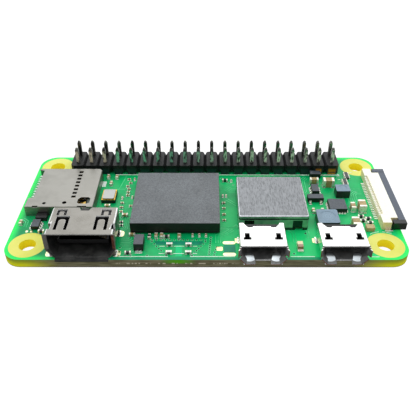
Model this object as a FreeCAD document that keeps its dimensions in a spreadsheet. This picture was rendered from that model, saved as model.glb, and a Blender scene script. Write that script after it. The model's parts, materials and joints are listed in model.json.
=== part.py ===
import FreeCAD, Part
import os
import re
import Sketcher
from FreeCAD import Vector

# A credit-card-class single board computer, in millimetres. The origin is the centre of the four
# mounting holes on the board's underside, +X points to the camera connector, +Y to the pin header
# and +Z up. Heights of parts on the board are counted from its underside, like everything else.

SIZES = {
    "board_length": 65.0,
    "board_width": 30.0,
    "board_thickness": 1.6,
    "board_corner": 3.0,
    "hole_pitch_long": 58.0,
    "hole_pitch_short": 23.0,
    "hole_diameter": 2.75,
    "wall": 0.3,
    "foil": 0.1,
    "slot_clearance": 0.1,
    # Pin header
    "header_pitch": 2.54,
    "header_columns": 20,
    "header_place": -0.35,
    "header_row": 11.5,
    "header_height": 1.95,
    "header_chamfer": 0.48,
    "header_drain": 0.6,
    "header_groove": 0.3,
    "pin_side": 0.64,
    "pin_rise": 5.2,
    "pin_tail": 1.2,
    "pin_tip": 0.55,
    "pin_hole": 1.02,
    "joint_diameter": 1.7,
    "joint_depth": 0.8,
    # Mini display port
    "display_place": -19.6,
    "display_width": 10.5,
    "display_rise": 4.7,
    "display_back": -7.65,
    "display_front": -14.3,
    "display_shoulder": 1.7,
    "display_slope": 1.0,
    "display_flare": 0.3,
    "display_lip": 0.3,
    "display_contacts": 19,
    "display_pitch": 0.4,
    # Micro USB ports
    "data_place": 8.85,
    "power_place": 21.5,
    "usb_width": 7.3,
    "usb_rise": 3.05,
    "usb_back": -9.55,
    "usb_front": -15.1,
    "usb_shoulder": 1.15,
    "usb_slope": 1.05,
    "usb_flare": 0.3,
    "usb_lip": 0.75,
    "usb_contacts": 5,
    "usb_pitch": 0.65,
    # Memory-card socket
    "card_left": -31.2,
    "card_right": -19.5,
    "card_front": -3.9,
    "card_back": 7.9,
    "card_rise": 2.0,
    "card_sheet": 0.2,
    "card_base": 0.5,
    "card_contacts": 8,
    "card_pitch": 1.1,
    "card_contact_row": -0.95,
    "card_root": -21.9,
    "card_finger": 3.9,
    "card_finger_width": 0.5,
    # Camera connector
    "camera_left": 29.3,
    "camera_right": 32.05,
    "camera_place": 0.5,
    "camera_half": 8.1,
    "camera_rise": 1.55,
    "camera_contacts": 22,
    "camera_pitch": 0.5,
    "latch_reach": 1.25,
    "latch_gap": 0.05,
    # Processor and wireless module
    "processor_side": 14.8,
    "processor_place": -5.2,
    "processor_row": -1.35,
    "ball_rise": 0.3,
    "substrate_rise": 0.4,
    "mould_rise": 1.6,
    "can_left": 5.3,
    "can_right": 16.9,
    "can_front": -7.7,
    "can_back": 3.95,
    "can_rise": 2.95,
    "can_sheet": 0.2,
    "can_radius": 0.35,
    # Chip parts by size: length, width and height, and how far an end cap reaches in
    "chip_long": 1.0,
    "chip_wide": 0.5,
    "chip_tall": 0.5,
    "chip_end": 0.25,
    "mini_long": 0.6,
    "mini_wide": 0.3,
    "mini_tall": 0.3,
    "mini_end": 0.16,
    "midi_long": 1.6,
    "midi_wide": 0.8,
    "midi_tall": 1.05,
    "midi_end": 0.35,
    "maxi_long": 2.0,
    "maxi_wide": 1.25,
    "maxi_tall": 1.5,
    "maxi_end": 0.45,
}

# Chip capacitors: size class, x, y and the direction in which their two ends lie
CAPACITORS = [
    ("chip", -18.6, 7.8, "Y"), ("chip", -17.0, 7.8, "Y"), ("chip", -17.8, 5.6, "Y"),
    ("chip", -17.5, -1.3, "X"), ("mini", -15.2, 1.2, "Y"), ("mini", -15.0, -0.3, "X"),
    ("mini", -15.0, -1.6, "X"), ("mini", -14.9, -2.8, "X"), ("mini", -14.6, 7.1, "X"),
    ("mini", -13.6, 7.1, "Y"), ("mini", -14.2, 5.9, "X"), ("mini", -14.6, 4.8, "X"),
    ("mini", -14.3, 3.9, "X"), ("mini", -14.3, 2.9, "X"), ("mini", -14.3, 2.0, "X"),
    ("mini", -13.4, 1.4, "Y"), ("mini", -13.4, -1.2, "X"), ("chip", -14.1, -3.9, "X"),
    ("chip", -12.3, -9.15, "X"), ("chip", -8.3, -9.4, "Y"), ("chip", -7.4, -9.4, "Y"),
    ("mini", -2.3, -9.15, "Y"), ("mini", -1.2, -9.15, "Y"), ("mini", -0.1, -9.2, "Y"),
    ("mini", 2.9, 1.8, "Y"), ("mini", 3.5, 1.8, "Y"), ("mini", 3.0, -0.3, "X"),
    ("mini", 3.0, -1.9, "X"), ("mini", 3.0, -3.6, "X"), ("mini", 3.0, -5.2, "X"),
    ("chip", -6.0, -11.6, "X"), ("chip", -2.9, -11.6, "X"), ("chip", -6.0, -13.5, "X"),
    ("chip", -2.9, -13.5, "X"), ("chip", -4.5, -9.55, "Y"), ("chip", -31.5, -6.0, "Y"),
    ("chip", 18.6, -2.7, "Y"), ("chip", 20.2, -2.7, "Y"), ("midi", 25.6, -2.0, "Y"),
    ("maxi", 27.1, -2.1, "Y"), ("maxi", 25.0, -6.9, "Y"), ("midi", 20.0, 6.1, "X"),
    ("maxi", 22.5, 5.2, "X"),
]

RESISTORS = [
    ("mini", -14.5, -5.7, "X"), ("mini", -14.4, -6.6, "X"), ("chip", -12.5, -13.6, "X"),
    ("chip", -9.4, -9.6, "Y"), ("chip", -6.6, -9.65, "X"), ("chip", 3.4, 6.6, "X"),
    ("chip", 26.5, -4.3, "X"), ("chip", 27.6, -4.9, "X"), ("chip", 26.6, -5.5, "X"),
    ("chip", 27.7, -6.1, "X"), ("chip", -27.5, -8.3, "X"), ("mini", 4.6, 6.6, "Y"),
]

document = FreeCAD.newDocument("SingleBoardComputer")
sheet = document.addObject("Spreadsheet::Sheet", "Sizes")
for row, (alias, size) in enumerate(SIZES.items(), start=1):
    sheet.set(f"A{row}", alias)
    sheet.set(f"B{row}", str(size))
    sheet.setAlias(f"B{row}", alias)
document.recompute()

pieces = []


def linked(expression):
    """Point each driving dimension named in an expression at its spreadsheet cell."""
    def cell(word):
        return f"Sizes.{word.group()}" if word.group() in SIZES else word.group()
    return re.sub(r"[a-z]\w*", cell, str(expression))


def bind(item, prop, expression):
    item.setExpression(prop, linked(expression))


def worked_out(expression):
    return float(sheet.evalExpression(linked(expression)))


def piece(item, label):
    """Give a finished object the name of the physical piece that it is."""
    item.Label = label
    pieces.append(item)
    return item


# Part workbench helpers

def box(name, low, size):
    """A block from its low corner and its size, three expressions each."""
    block = document.addObject("Part::Box", name)
    for prop, expression in zip(("Length", "Width", "Height"), size):
        bind(block, prop, expression)
    for axis, expression in zip("xyz", low):
        bind(block, f"Placement.Base.{axis}", expression)
    return block


def standing_box(name, place_x, place_y, bottom, size):
    """A block centred on a place in plan, standing at a height."""
    low = (f"{place_x} - ({size[0]}) / 2", f"{place_y} - ({size[1]}) / 2", bottom)
    return box(name, low, size)


def group(name, parts):
    compound = document.addObject("Part::Compound", name)
    compound.Links = parts
    return compound


def cut(name, base, tool):
    difference = document.addObject("Part::Cut", name)
    difference.Base = base
    difference.Tool = tool
    return difference


def fuse(name, parts):
    union = document.addObject("Part::MultiFuse", name)
    union.Shapes = parts
    return union


# PartDesign helpers

def sketch(body, name, role, offset="0"):
    """An empty sketch on one of its body's origin planes, moved along that plane's normal."""
    plane = next(item for item in body.Origin.OriginFeatures if item.Role == role)
    outline = body.newObject("Sketcher::SketchObject", name)
    outline.AttachmentSupport = [(plane, "")]
    outline.MapMode = "FlatFace"
    bind(outline, "AttachmentOffset.Base.z", offset)
    return outline


def hold_point(outline, geometry, corner, place):
    """Tie a point of a sketch to the sheet through its two coordinates."""
    for kind, expression in zip(("DistanceX", "DistanceY"), place):
        distance = Sketcher.Constraint(kind, -1, 1, geometry, corner, worked_out(expression))
        index = outline.addConstraint(distance)
        bind(outline, f"Constraints[{index}]", expression)


def polygon(outline, corners):
    """Add a closed outline through corners, each a pair of expressions."""
    points = [Vector(worked_out(x), worked_out(y), 0) for x, y in corners]
    first = outline.GeometryCount
    count = len(points)
    for index in range(count):
        outline.addGeometry(Part.LineSegment(points[index], points[(index + 1) % count]))
    for index in range(count):
        following = first + (index + 1) % count
        outline.addConstraint(Sketcher.Constraint("Coincident", first + index, 2, following, 1))
    for index, place in enumerate(corners):
        hold_point(outline, first + index, 1, place)


def rectangle(outline, place_x, place_y, length, width):
    low_x, high_x = f"{place_x} - ({length}) / 2", f"{place_x} + ({length}) / 2"
    low_y, high_y = f"{place_y} - ({width}) / 2", f"{place_y} + ({width}) / 2"
    polygon(outline, [(low_x, low_y), (high_x, low_y), (high_x, high_y), (low_x, high_y)])


def circle(outline, place_x, place_y, diameter):
    centre = Vector(worked_out(place_x), worked_out(place_y), 0)
    ring = Part.Circle(centre, Vector(0, 0, 1), worked_out(diameter) / 2)
    index = outline.addGeometry(ring)
    hold_point(outline, index, 3, (place_x, place_y))
    size = outline.addConstraint(Sketcher.Constraint("Diameter", index, worked_out(diameter)))
    bind(outline, f"Constraints[{size}]", diameter)


def pad(body, name, outline, length, backwards=False, taper="0"):
    feature = body.newObject("PartDesign::Pad", name)
    feature.Profile = outline
    feature.Reversed = backwards
    bind(feature, "Length", length)
    if taper != "0":
        bind(feature, "TaperAngle", taper)
    body.Tip = feature
    return feature


def pocket(body, name, outline, depth, backwards=False):
    """Cut an outline against its sketch's normal, or along it when backwards; it must remove material."""
    document.recompute()
    before = body.Shape.Volume
    feature = body.newObject("PartDesign::Pocket", name)
    feature.Profile = outline
    feature.Reversed = backwards
    bind(feature, "Length", depth)
    body.Tip = feature
    document.recompute()
    if body.Shape.Volume > before - 1e-6:
        raise RuntimeError(f"{name} removes nothing from {body.Label}")
    return feature


def loft(body, name, kind, first, last):
    feature = body.newObject(f"PartDesign::{kind}Loft", name)
    feature.Profile = first
    feature.Sections = [last]
    body.Tip = feature
    return feature


def row_pattern(body, name, features, outline, pitch, count, across=None):
    """Repeat features along a sketch's horizontal axis, and across it by one more pitch if asked."""
    pattern = body.newObject("PartDesign::MultiTransform", name)
    pattern.Originals = features
    steps = []
    for axis, number in (("H_Axis", count), ("V_Axis", across)):
        if number is None:
            continue
        step = body.newObject("PartDesign::LinearPattern", f"{name}_{axis[0]}")
        step.Direction = (outline, [axis])
        bind(step, "Length", f"({pitch}) * ({number} - 1)")
        bind(step, "Occurrences", number)
        steps.append(step)
    pattern.Transformations = steps
    body.Tip = pattern
    return pattern


def edge_names(shape, wanted):
    return [f"Edge{index}" for index, edge in enumerate(shape.Edges, start=1) if wanted(edge)]


def is_upright(edge):
    ends = [vertex.Point for vertex in edge.Vertexes]
    return len(ends) == 2 and (ends[0] - ends[1]).cross(Vector(0, 0, 1)).Length < 1e-6


def is_at_height(height):
    return lambda edge: all(abs(vertex.Point.z - height) < 1e-6 for vertex in edge.Vertexes)


def fillet(body, name, wanted, radius):
    """Round the edges of a body that a test picks."""
    document.recompute()
    base = body.Tip
    feature = body.newObject("PartDesign::Fillet", name)
    feature.Base = (base, edge_names(base.Shape, wanted))
    bind(feature, "Radius", radius)
    body.Tip = feature
    return feature


def new_body(label):
    body = document.addObject("PartDesign::Body", label)
    return piece(body, label)


BOARD_TOP = "board_thickness"
FIRST_PIN = "header_place - header_pitch * (header_columns - 1) / 2"
PIN_ROW = "header_row - header_pitch / 2"


def legs_of(place, width, rows):
    """Where a port's board legs pass through the board, mirrored about its centre."""
    reach = f"(({width}) - wall) / 2"
    return [(f"{place} + {side} * {reach}", row) for side in (-1, 1) for row in rows]


DISPLAY_LEGS = legs_of("display_place", "display_width", ("display_back - 1.05", "display_front + 0.75"))
USB_LEG_ROWS = ("usb_back - 0.85",)
DATA_LEGS = legs_of("data_place", "usb_width", USB_LEG_ROWS)
POWER_LEGS = legs_of("power_place", "usb_width", USB_LEG_ROWS)
ALL_LEGS = DISPLAY_LEGS + DATA_LEGS + POWER_LEGS
LEG_WIDTH = "0.8"
LEG_DEPTH = "1.3"


def make_circuit_board():
    board = new_body("circuit_board")
    outline = sketch(board, "board_outline", "XY_Plane")
    rectangle(outline, "0", "0", "board_length", "board_width")
    pad(board, "board_pad", outline, "board_thickness")
    fillet(board, "board_corners", is_upright, "board_corner")
    holes = sketch(board, "mounting_hole_places", "XY_Plane", BOARD_TOP)
    for side_x in (-1, 1):
        for side_y in (-1, 1):
            place = (f"{side_x} * hole_pitch_long / 2", f"{side_y} * hole_pitch_short / 2")
            circle(holes, *place, "hole_diameter")
    pocket(board, "mounting_holes", holes, "board_thickness")
    slots = sketch(board, "leg_slot_places", "XY_Plane", BOARD_TOP)
    for place_x, place_y in ALL_LEGS:
        rectangle(slots, place_x, place_y, "wall + 2 * slot_clearance", f"{LEG_WIDTH} + 2 * slot_clearance")
    pocket(board, "leg_slots", slots, "board_thickness")
    pin_hole = sketch(board, "pin_hole_place", "XY_Plane", BOARD_TOP)
    circle(pin_hole, FIRST_PIN, PIN_ROW, "pin_hole")
    first = pocket(board, "pin_hole", pin_hole, "board_thickness")
    row_pattern(board, "pin_holes", [first], pin_hole, "header_pitch", "header_columns", "2")


def make_pin_header():
    moulding = new_body("header_body")
    segment = sketch(moulding, "segment_outline", "XY_Plane", BOARD_TOP)
    half, chamfer = "header_pitch / 2", "header_chamfer"
    corners = []
    for side_x, side_y, along in ((-1, -1, True), (1, -1, False), (1, 1, True), (-1, 1, False)):
        edge_x = f"{FIRST_PIN} + {side_x} * {half}"
        edge_y = f"header_row + {side_y} * header_pitch"
        beside = (edge_x, f"{edge_y} - {side_y} * {chamfer}")
        across = (f"{edge_x} - {side_x} * {chamfer}", edge_y)
        corners += [beside, across] if along else [across, beside]
    polygon(segment, corners)
    block = pad(moulding, "segment", segment, "header_height")
    row_pattern(moulding, "segments", [block], segment, "header_pitch", "header_columns")
    hole = sketch(moulding, "pin_opening_place", "XY_Plane", f"{BOARD_TOP} + header_height")
    rectangle(hole, FIRST_PIN, PIN_ROW, "pin_side", "pin_side")
    opening = pocket(moulding, "pin_opening", hole, "header_height")
    row_pattern(moulding, "pin_openings", [opening], hole, "header_pitch", "header_columns", "2")
    # Between each two segments a groove runs along the top, and a low passage underneath for flux to drain.
    joint, top = f"{FIRST_PIN} + header_pitch / 2", f"{BOARD_TOP} + header_height"
    furrow = sketch(moulding, "groove_outline", "XZ_Plane", "-(header_row + header_pitch)")
    polygon(furrow, [(f"{joint} - header_groove", top), (joint, f"{top} - 1.5 * header_groove"),
                     (f"{joint} + header_groove", top)])
    groove = pocket(moulding, "groove", furrow, "2 * header_pitch", backwards=True)
    row_pattern(moulding, "grooves", [groove], furrow, "header_pitch", "header_columns - 1")
    passage = sketch(moulding, "drain_outline", "XZ_Plane", "-(header_row + header_pitch)")
    rectangle(passage, joint, f"{BOARD_TOP} + header_drain / 2", "1.0", "header_drain")
    drain = pocket(moulding, "drain", passage, "2 * header_pitch", backwards=True)
    row_pattern(moulding, "drains", [drain], passage, "header_pitch", "header_columns - 1")

    pins = new_body("header_pins")
    section = sketch(pins, "pin_section", "XY_Plane", "-pin_tail + pin_tip / 2")
    rectangle(section, FIRST_PIN, PIN_ROW, "pin_side", "pin_side")
    shaft = pad(pins, "pin_shaft", section, f"{BOARD_TOP} + pin_rise + pin_tail - 1.5 * pin_tip")
    foot = pad(pins, "pin_foot", section, "pin_tip / 2", backwards=True, taper="-18")
    top_section = sketch(pins, "tip_section", "XY_Plane", f"{BOARD_TOP} + pin_rise - pin_tip")
    rectangle(top_section, FIRST_PIN, PIN_ROW, "pin_side", "pin_side")
    tip = pad(pins, "pin_tip", top_section, "pin_tip", taper="-18")
    row_pattern(pins, "all_pins", [shaft, foot, tip], section, "header_pitch", "header_columns", "2")

    joints = new_body("header_solder_joints")
    ring = sketch(joints, "joint_outline", "XY_Plane")
    circle(ring, FIRST_PIN, PIN_ROW, "joint_diameter")
    neck = sketch(joints, "joint_neck", "XY_Plane", "-joint_depth")
    circle(neck, FIRST_PIN, PIN_ROW, "pin_side * 1.6")
    cone = loft(joints, "joint_cone", "Additive", ring, neck)
    square = sketch(joints, "joint_opening", "XY_Plane")
    rectangle(square, FIRST_PIN, PIN_ROW, "pin_side", "pin_side")
    opening = pocket(joints, "pin_passage", square, "joint_depth")
    row_pattern(joints, "all_joints", [cone, opening], ring, "header_pitch", "header_columns", "2")


def mouth_corners(place, width, rise, shoulder, slope, grow="0", sink=None, lift=None):
    """A port's mouth: straight at the top, with its two lower corners cut off, grown outwards by a distance.
    Its floor goes down by the same distance, or by sink, and its roof up, or by lift."""
    half = f"(({width}) / 2 + ({grow}))"
    foot = f"(({width}) / 2 - ({slope}) + ({grow}) / 2)"
    low, knee = f"{BOARD_TOP} - ({sink or grow})", f"{BOARD_TOP} + {shoulder}"
    top = f"{BOARD_TOP} + {rise} + ({lift or grow})"
    return [
        (f"{place} - {foot}", low), (f"{place} + {foot}", low), (f"{place} + {half}", knee),
        (f"{place} + {half}", top), (f"{place} - {half}", top), (f"{place} - {half}", knee),
    ]


def make_port_shell(label, mouth, back, front, flare, lip, legs, rims=((None, None), (None, None))):
    """A stamped shell: a tube along Y with a flared mouth, standing on legs that pass through the board."""
    shell = new_body(label)
    outer = sketch(shell, f"{label}_outer", "XZ_Plane", f"-({back})")
    polygon(outer, mouth_corners(*mouth))
    pad(shell, f"{label}_tube", outer, f"{back} - ({front})")
    throat = sketch(shell, f"{label}_throat", "XZ_Plane", f"-({front})")
    polygon(throat, mouth_corners(*mouth))
    rim = sketch(shell, f"{label}_rim", "XZ_Plane", f"-({front}) + {lip}")
    polygon(rim, mouth_corners(*mouth, flare, *rims[0]))
    loft(shell, f"{label}_flare", "Additive", throat, rim)
    feet = sketch(shell, f"{label}_leg_places", "XY_Plane", f"{BOARD_TOP} - {LEG_DEPTH}")
    for place_x, place_y in legs:
        rectangle(feet, place_x, place_y, "wall", LEG_WIDTH)
    pad(shell, f"{label}_legs", feet, f"{LEG_DEPTH} + {mouth[3]} + 0.2")
    inner = sketch(shell, f"{label}_inner", "XZ_Plane", f"-({front})")
    polygon(inner, mouth_corners(*mouth, grow="-wall"))
    pocket(shell, f"{label}_cavity", inner, f"{back} - ({front})")
    inner_throat = sketch(shell, f"{label}_inner_throat", "XZ_Plane", f"-({front})")
    polygon(inner_throat, mouth_corners(*mouth, grow="-wall"))
    inner_rim = sketch(shell, f"{label}_inner_rim", "XZ_Plane", f"-({front}) + {lip}")
    polygon(inner_rim, mouth_corners(*mouth, f"{flare} - wall / 2", *rims[1]))
    loft(shell, f"{label}_mouth", "Subtractive", inner_throat, inner_rim)
    return shell


def make_port_contacts(label, place, count, pitch, back, tip, level, width):
    """Contacts side by side, each a strip along the tongue that turns down to a foot on the board."""
    contacts = new_body(label)
    middle = f"{place} - ({count} - 1) * {pitch} / 2"
    profile = sketch(contacts, f"{label}_profile", "YZ_Plane", f"{middle} - {width} / 2")
    top, under = f"{BOARD_TOP} + {level}", f"{BOARD_TOP} + {level} - foil"
    heel, toe = f"{back} + 0.3", f"{back} + 0.9"
    polygon(profile, [
        (tip, under), (f"{heel} - foil", under), (f"{heel} - foil", BOARD_TOP), (toe, BOARD_TOP),
        (toe, f"{BOARD_TOP} + foil"), (heel, f"{BOARD_TOP} + foil"), (heel, top), (tip, top),
    ])
    strip = pad(contacts, f"{label}_strip", profile, width)
    pattern = contacts.newObject("PartDesign::LinearPattern", f"{label}_row")
    pattern.Originals = [strip]
    pattern.Direction = (profile, ["N_Axis"])
    bind(pattern, "Length", f"{pitch} * ({count} - 1)")
    bind(pattern, "Occurrences", count)
    contacts.Tip = pattern
    return contacts


def make_port_insulator(label, mouth, back, depth, tongue, contacts, key=None):
    """The moulding that fills the back of a shell, with the tongue that carries the contacts. A key on top
    fills the notch in the shell's roof."""
    body = document.addObject("PartDesign::Body", f"{label}_moulding")
    plug = sketch(body, f"{label}_plug", "XZ_Plane", f"-({back})")
    polygon(plug, mouth_corners(*mouth, grow="-wall"))
    pad(body, f"{label}_block", plug, depth)
    width, low, high, reach = tongue
    outline = sketch(body, f"{label}_tongue_outline", "XZ_Plane", f"-({back})")
    rectangle(outline, mouth[0], f"{BOARD_TOP} + ({low} + {high}) / 2", width, f"{high} - {low}")
    pad(body, f"{label}_tongue", outline, reach)
    if key:
        key_width, key_length, key_top = key
        raised = sketch(body, f"{label}_key_outline", "XY_Plane", f"{BOARD_TOP} + {key_top}")
        rectangle(raised, mouth[0], f"{back} - {key_length} / 2", key_width, key_length)
        pad(body, f"{label}_key", raised, "2 * wall", backwards=True)
    return piece(cut(label, body, contacts), label)


def make_display_port():
    mouth = ("display_place", "display_width", "display_rise", "display_shoulder", "display_slope")
    shell = make_port_shell("display_port_shell", mouth, "display_back", "display_front", "display_flare",
                            "display_lip", DISPLAY_LEGS, (("0", "0.12"), ("-wall / 2", "0.12 - wall / 2")))
    # The floor goes on to the board's edge and turns down over it.
    apron_width = "(display_width - 2.1 * display_slope)"
    apron = sketch(shell, "display_apron_profile", "YZ_Plane", f"display_place - {apron_width} / 2")
    inner, outer = "-board_width / 2 - 0.05", "-board_width / 2 - 0.17"
    polygon(apron, [
        ("display_front + 0.2", BOARD_TOP), (inner, BOARD_TOP), (inner, f"{BOARD_TOP} - 0.3"),
        (outer, f"{BOARD_TOP} - 0.3"), (outer, f"{BOARD_TOP} + 0.12"),
        ("display_front + 0.2", f"{BOARD_TOP} + 0.12"),
    ])
    pad(shell, "display_apron", apron, apron_width)
    windows = sketch(shell, "display_windows", "XY_Plane", f"{BOARD_TOP} + display_rise")
    for side in (-1, 1):
        middle = f"display_place + {side} * 3.1"
        centre = "display_back - 3.9"
        # The retaining tongue is joined at the mouth side and free towards the back.
        polygon(windows, [
            (f"{middle} - 1.05", f"{centre} + 1.75"), (f"{middle} + 1.05", f"{centre} + 1.75"),
            (f"{middle} + 1.05", f"{centre} - 1.75"), (f"{middle} + 0.55", f"{centre} - 1.75"),
            (f"{middle} + 0.55", f"{centre} + 0.55"), (f"{middle} + 0.3", f"{centre} + 0.85"),
            (f"{middle} - 0.3", f"{centre} + 0.85"), (f"{middle} - 0.55", f"{centre} + 0.55"),
            (f"{middle} - 0.55", f"{centre} - 1.75"), (f"{middle} - 1.05", f"{centre} - 1.75"),
        ])
        middle = f"display_place + {side} * 3.55"
        centre = "display_back - 1.25"
        polygon(windows, [
            (f"{middle} - 0.8", f"{centre} - 0.75"), (f"{middle} - 0.35", f"{centre} - 0.75"),
            (f"{middle} - 0.35", f"{centre} + 0.2"), (f"{middle} + 0.35", f"{centre} + 0.2"),
            (f"{middle} + 0.35", f"{centre} - 0.75"), (f"{middle} + 0.8", f"{centre} - 0.75"),
            (f"{middle} + 0.8", f"{centre} + 0.75"), (f"{middle} - 0.8", f"{centre} + 0.75"),
        ])
    polygon(windows, [
        ("display_place - 0.65", "display_back - 0.8"), ("display_place + 0.65", "display_back - 0.8"),
        ("display_place + 1.05", "display_back + 0.1"), ("display_place - 1.05", "display_back + 0.1"),
    ])
    pocket(shell, "display_window_cuts", windows, "wall")
    # A catch opening in each upper edge, near the mouth
    catches = sketch(shell, "display_catch_places", "XY_Plane", f"{BOARD_TOP} + display_rise")
    for side in (-1, 1):
        rectangle(catches, f"display_place + {side} * display_width / 2", "display_front + 1.9", "0.9", "1.4")
    pocket(shell, "display_catch_cuts", catches, "1.2")
    contacts = make_port_contacts("display_port_contacts", "display_place", "display_contacts",
                                  "display_pitch", "display_back", "display_front + 1.9", "2.0", "0.2")
    make_port_insulator("display_port_insulator", mouth, "display_back", "1.5",
                        ("8.2", "1.15", "2.0", "4.8"), contacts, ("1.2", "0.7", "display_rise - 0.1"))


def make_usb_port(name, place, legs):
    mouth = (place, "usb_width", "usb_rise", "usb_shoulder", "usb_slope")
    shell = make_port_shell(f"{name}_shell", mouth, "usb_back", "usb_front", "usb_flare", "usb_lip", legs)
    openings = sketch(shell, f"{name}_openings", "XY_Plane", f"{BOARD_TOP} + usb_rise")
    for side in (-1, 1):
        middle = f"{place} + {side} * 2.45"
        centre = "usb_back - 3.35"
        # Latch opening, wider at its mouth end
        polygon(openings, [
            (f"{middle} - 0.38", f"{centre} + 0.8"), (f"{middle} + 0.38", f"{centre} + 0.8"),
            (f"{middle} + 0.38", f"{centre} - 0.2"), (f"{middle} + 0.62", f"{centre} - 0.2"),
            (f"{middle} + 0.62", f"{centre} - 0.8"), (f"{middle} - 0.62", f"{centre} - 0.8"),
            (f"{middle} - 0.62", f"{centre} - 0.2"), (f"{middle} - 0.38", f"{centre} - 0.2"),
        ])
    # The roof's back edge is cut between two corner wings, deepest just inside each wing.
    half_edge = [("2.95", "0.1"), ("2.75", "-0.4"), ("2.2", "-1.15"), ("1.55", "-1.15"), ("1.4", "-0.85")]
    edge = [(f"{place} - {reach}", f"usb_back + {depth}") for reach, depth in half_edge]
    edge += [(f"{place} + {reach}", f"usb_back + {depth}") for reach, depth in reversed(half_edge)]
    polygon(openings, edge)
    pocket(shell, f"{name}_opening_cuts", openings, "wall")
    # The roof's lip is shorter than the floor's.
    crest = sketch(shell, f"{name}_roof_lip_outline", "XY_Plane", f"{BOARD_TOP} + usb_rise + usb_flare + 0.1")
    rectangle(crest, place, "usb_front - usb_lip + 0.2", "usb_width + 2 * usb_flare + 0.2", "0.5")
    pocket(shell, f"{name}_roof_lip_cut", crest, "usb_flare + wall + 0.2")
    # The flared lip is split at the middle of the floor and at its four corners.
    splits = sketch(shell, f"{name}_lip_splits", "XZ_Plane", "-usb_front + usb_lip")
    rectangle(splits, place, f"{BOARD_TOP}", "2.4", "2 * wall")
    for side in (-1, 1):
        rectangle(splits, f"{place} + {side} * (usb_width / 2 + 0.15)", f"{BOARD_TOP} + usb_rise + 0.15",
                  "0.7", "0.7")
        rectangle(splits, f"{place} + {side} * (usb_width / 2 + 0.1)", f"{BOARD_TOP} + usb_shoulder - 0.05",
                  "0.8", "0.35")
    pocket(shell, f"{name}_lip_cuts", splits, "usb_lip - 0.1")
    contacts = make_port_contacts(f"{name}_contacts", place, "usb_contacts", "usb_pitch", "usb_back",
                                  "usb_front + 0.9", "1.75", "0.25")
    make_port_insulator(f"{name}_insulator", mouth, "usb_back", "1.3",
                        ("3.9", "1.35", "2.0", "4.3"), contacts)


def make_port_solder_joints():
    """Solder around each leg: a low oval mound on the board with the leg passing through it."""
    mounds = []
    for index, (place_x, place_y) in enumerate(ALL_LEGS):
        long_size, wide_size = f"{LEG_WIDTH} + 0.8", "wall + 0.4"
        place = (place_x, place_y, BOARD_TOP)
        mound = standing_box(f"leg_joint_{index}", *place, (wide_size, long_size, "0.12"))
        passage = standing_box(f"leg_passage_{index}", *place, ("wall", LEG_WIDTH, "0.12"))
        mounds.append(cut(f"leg_ring_{index}", mound, passage))
    piece(group("port_solder_joints_group", mounds), "port_solder_joints")


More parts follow.
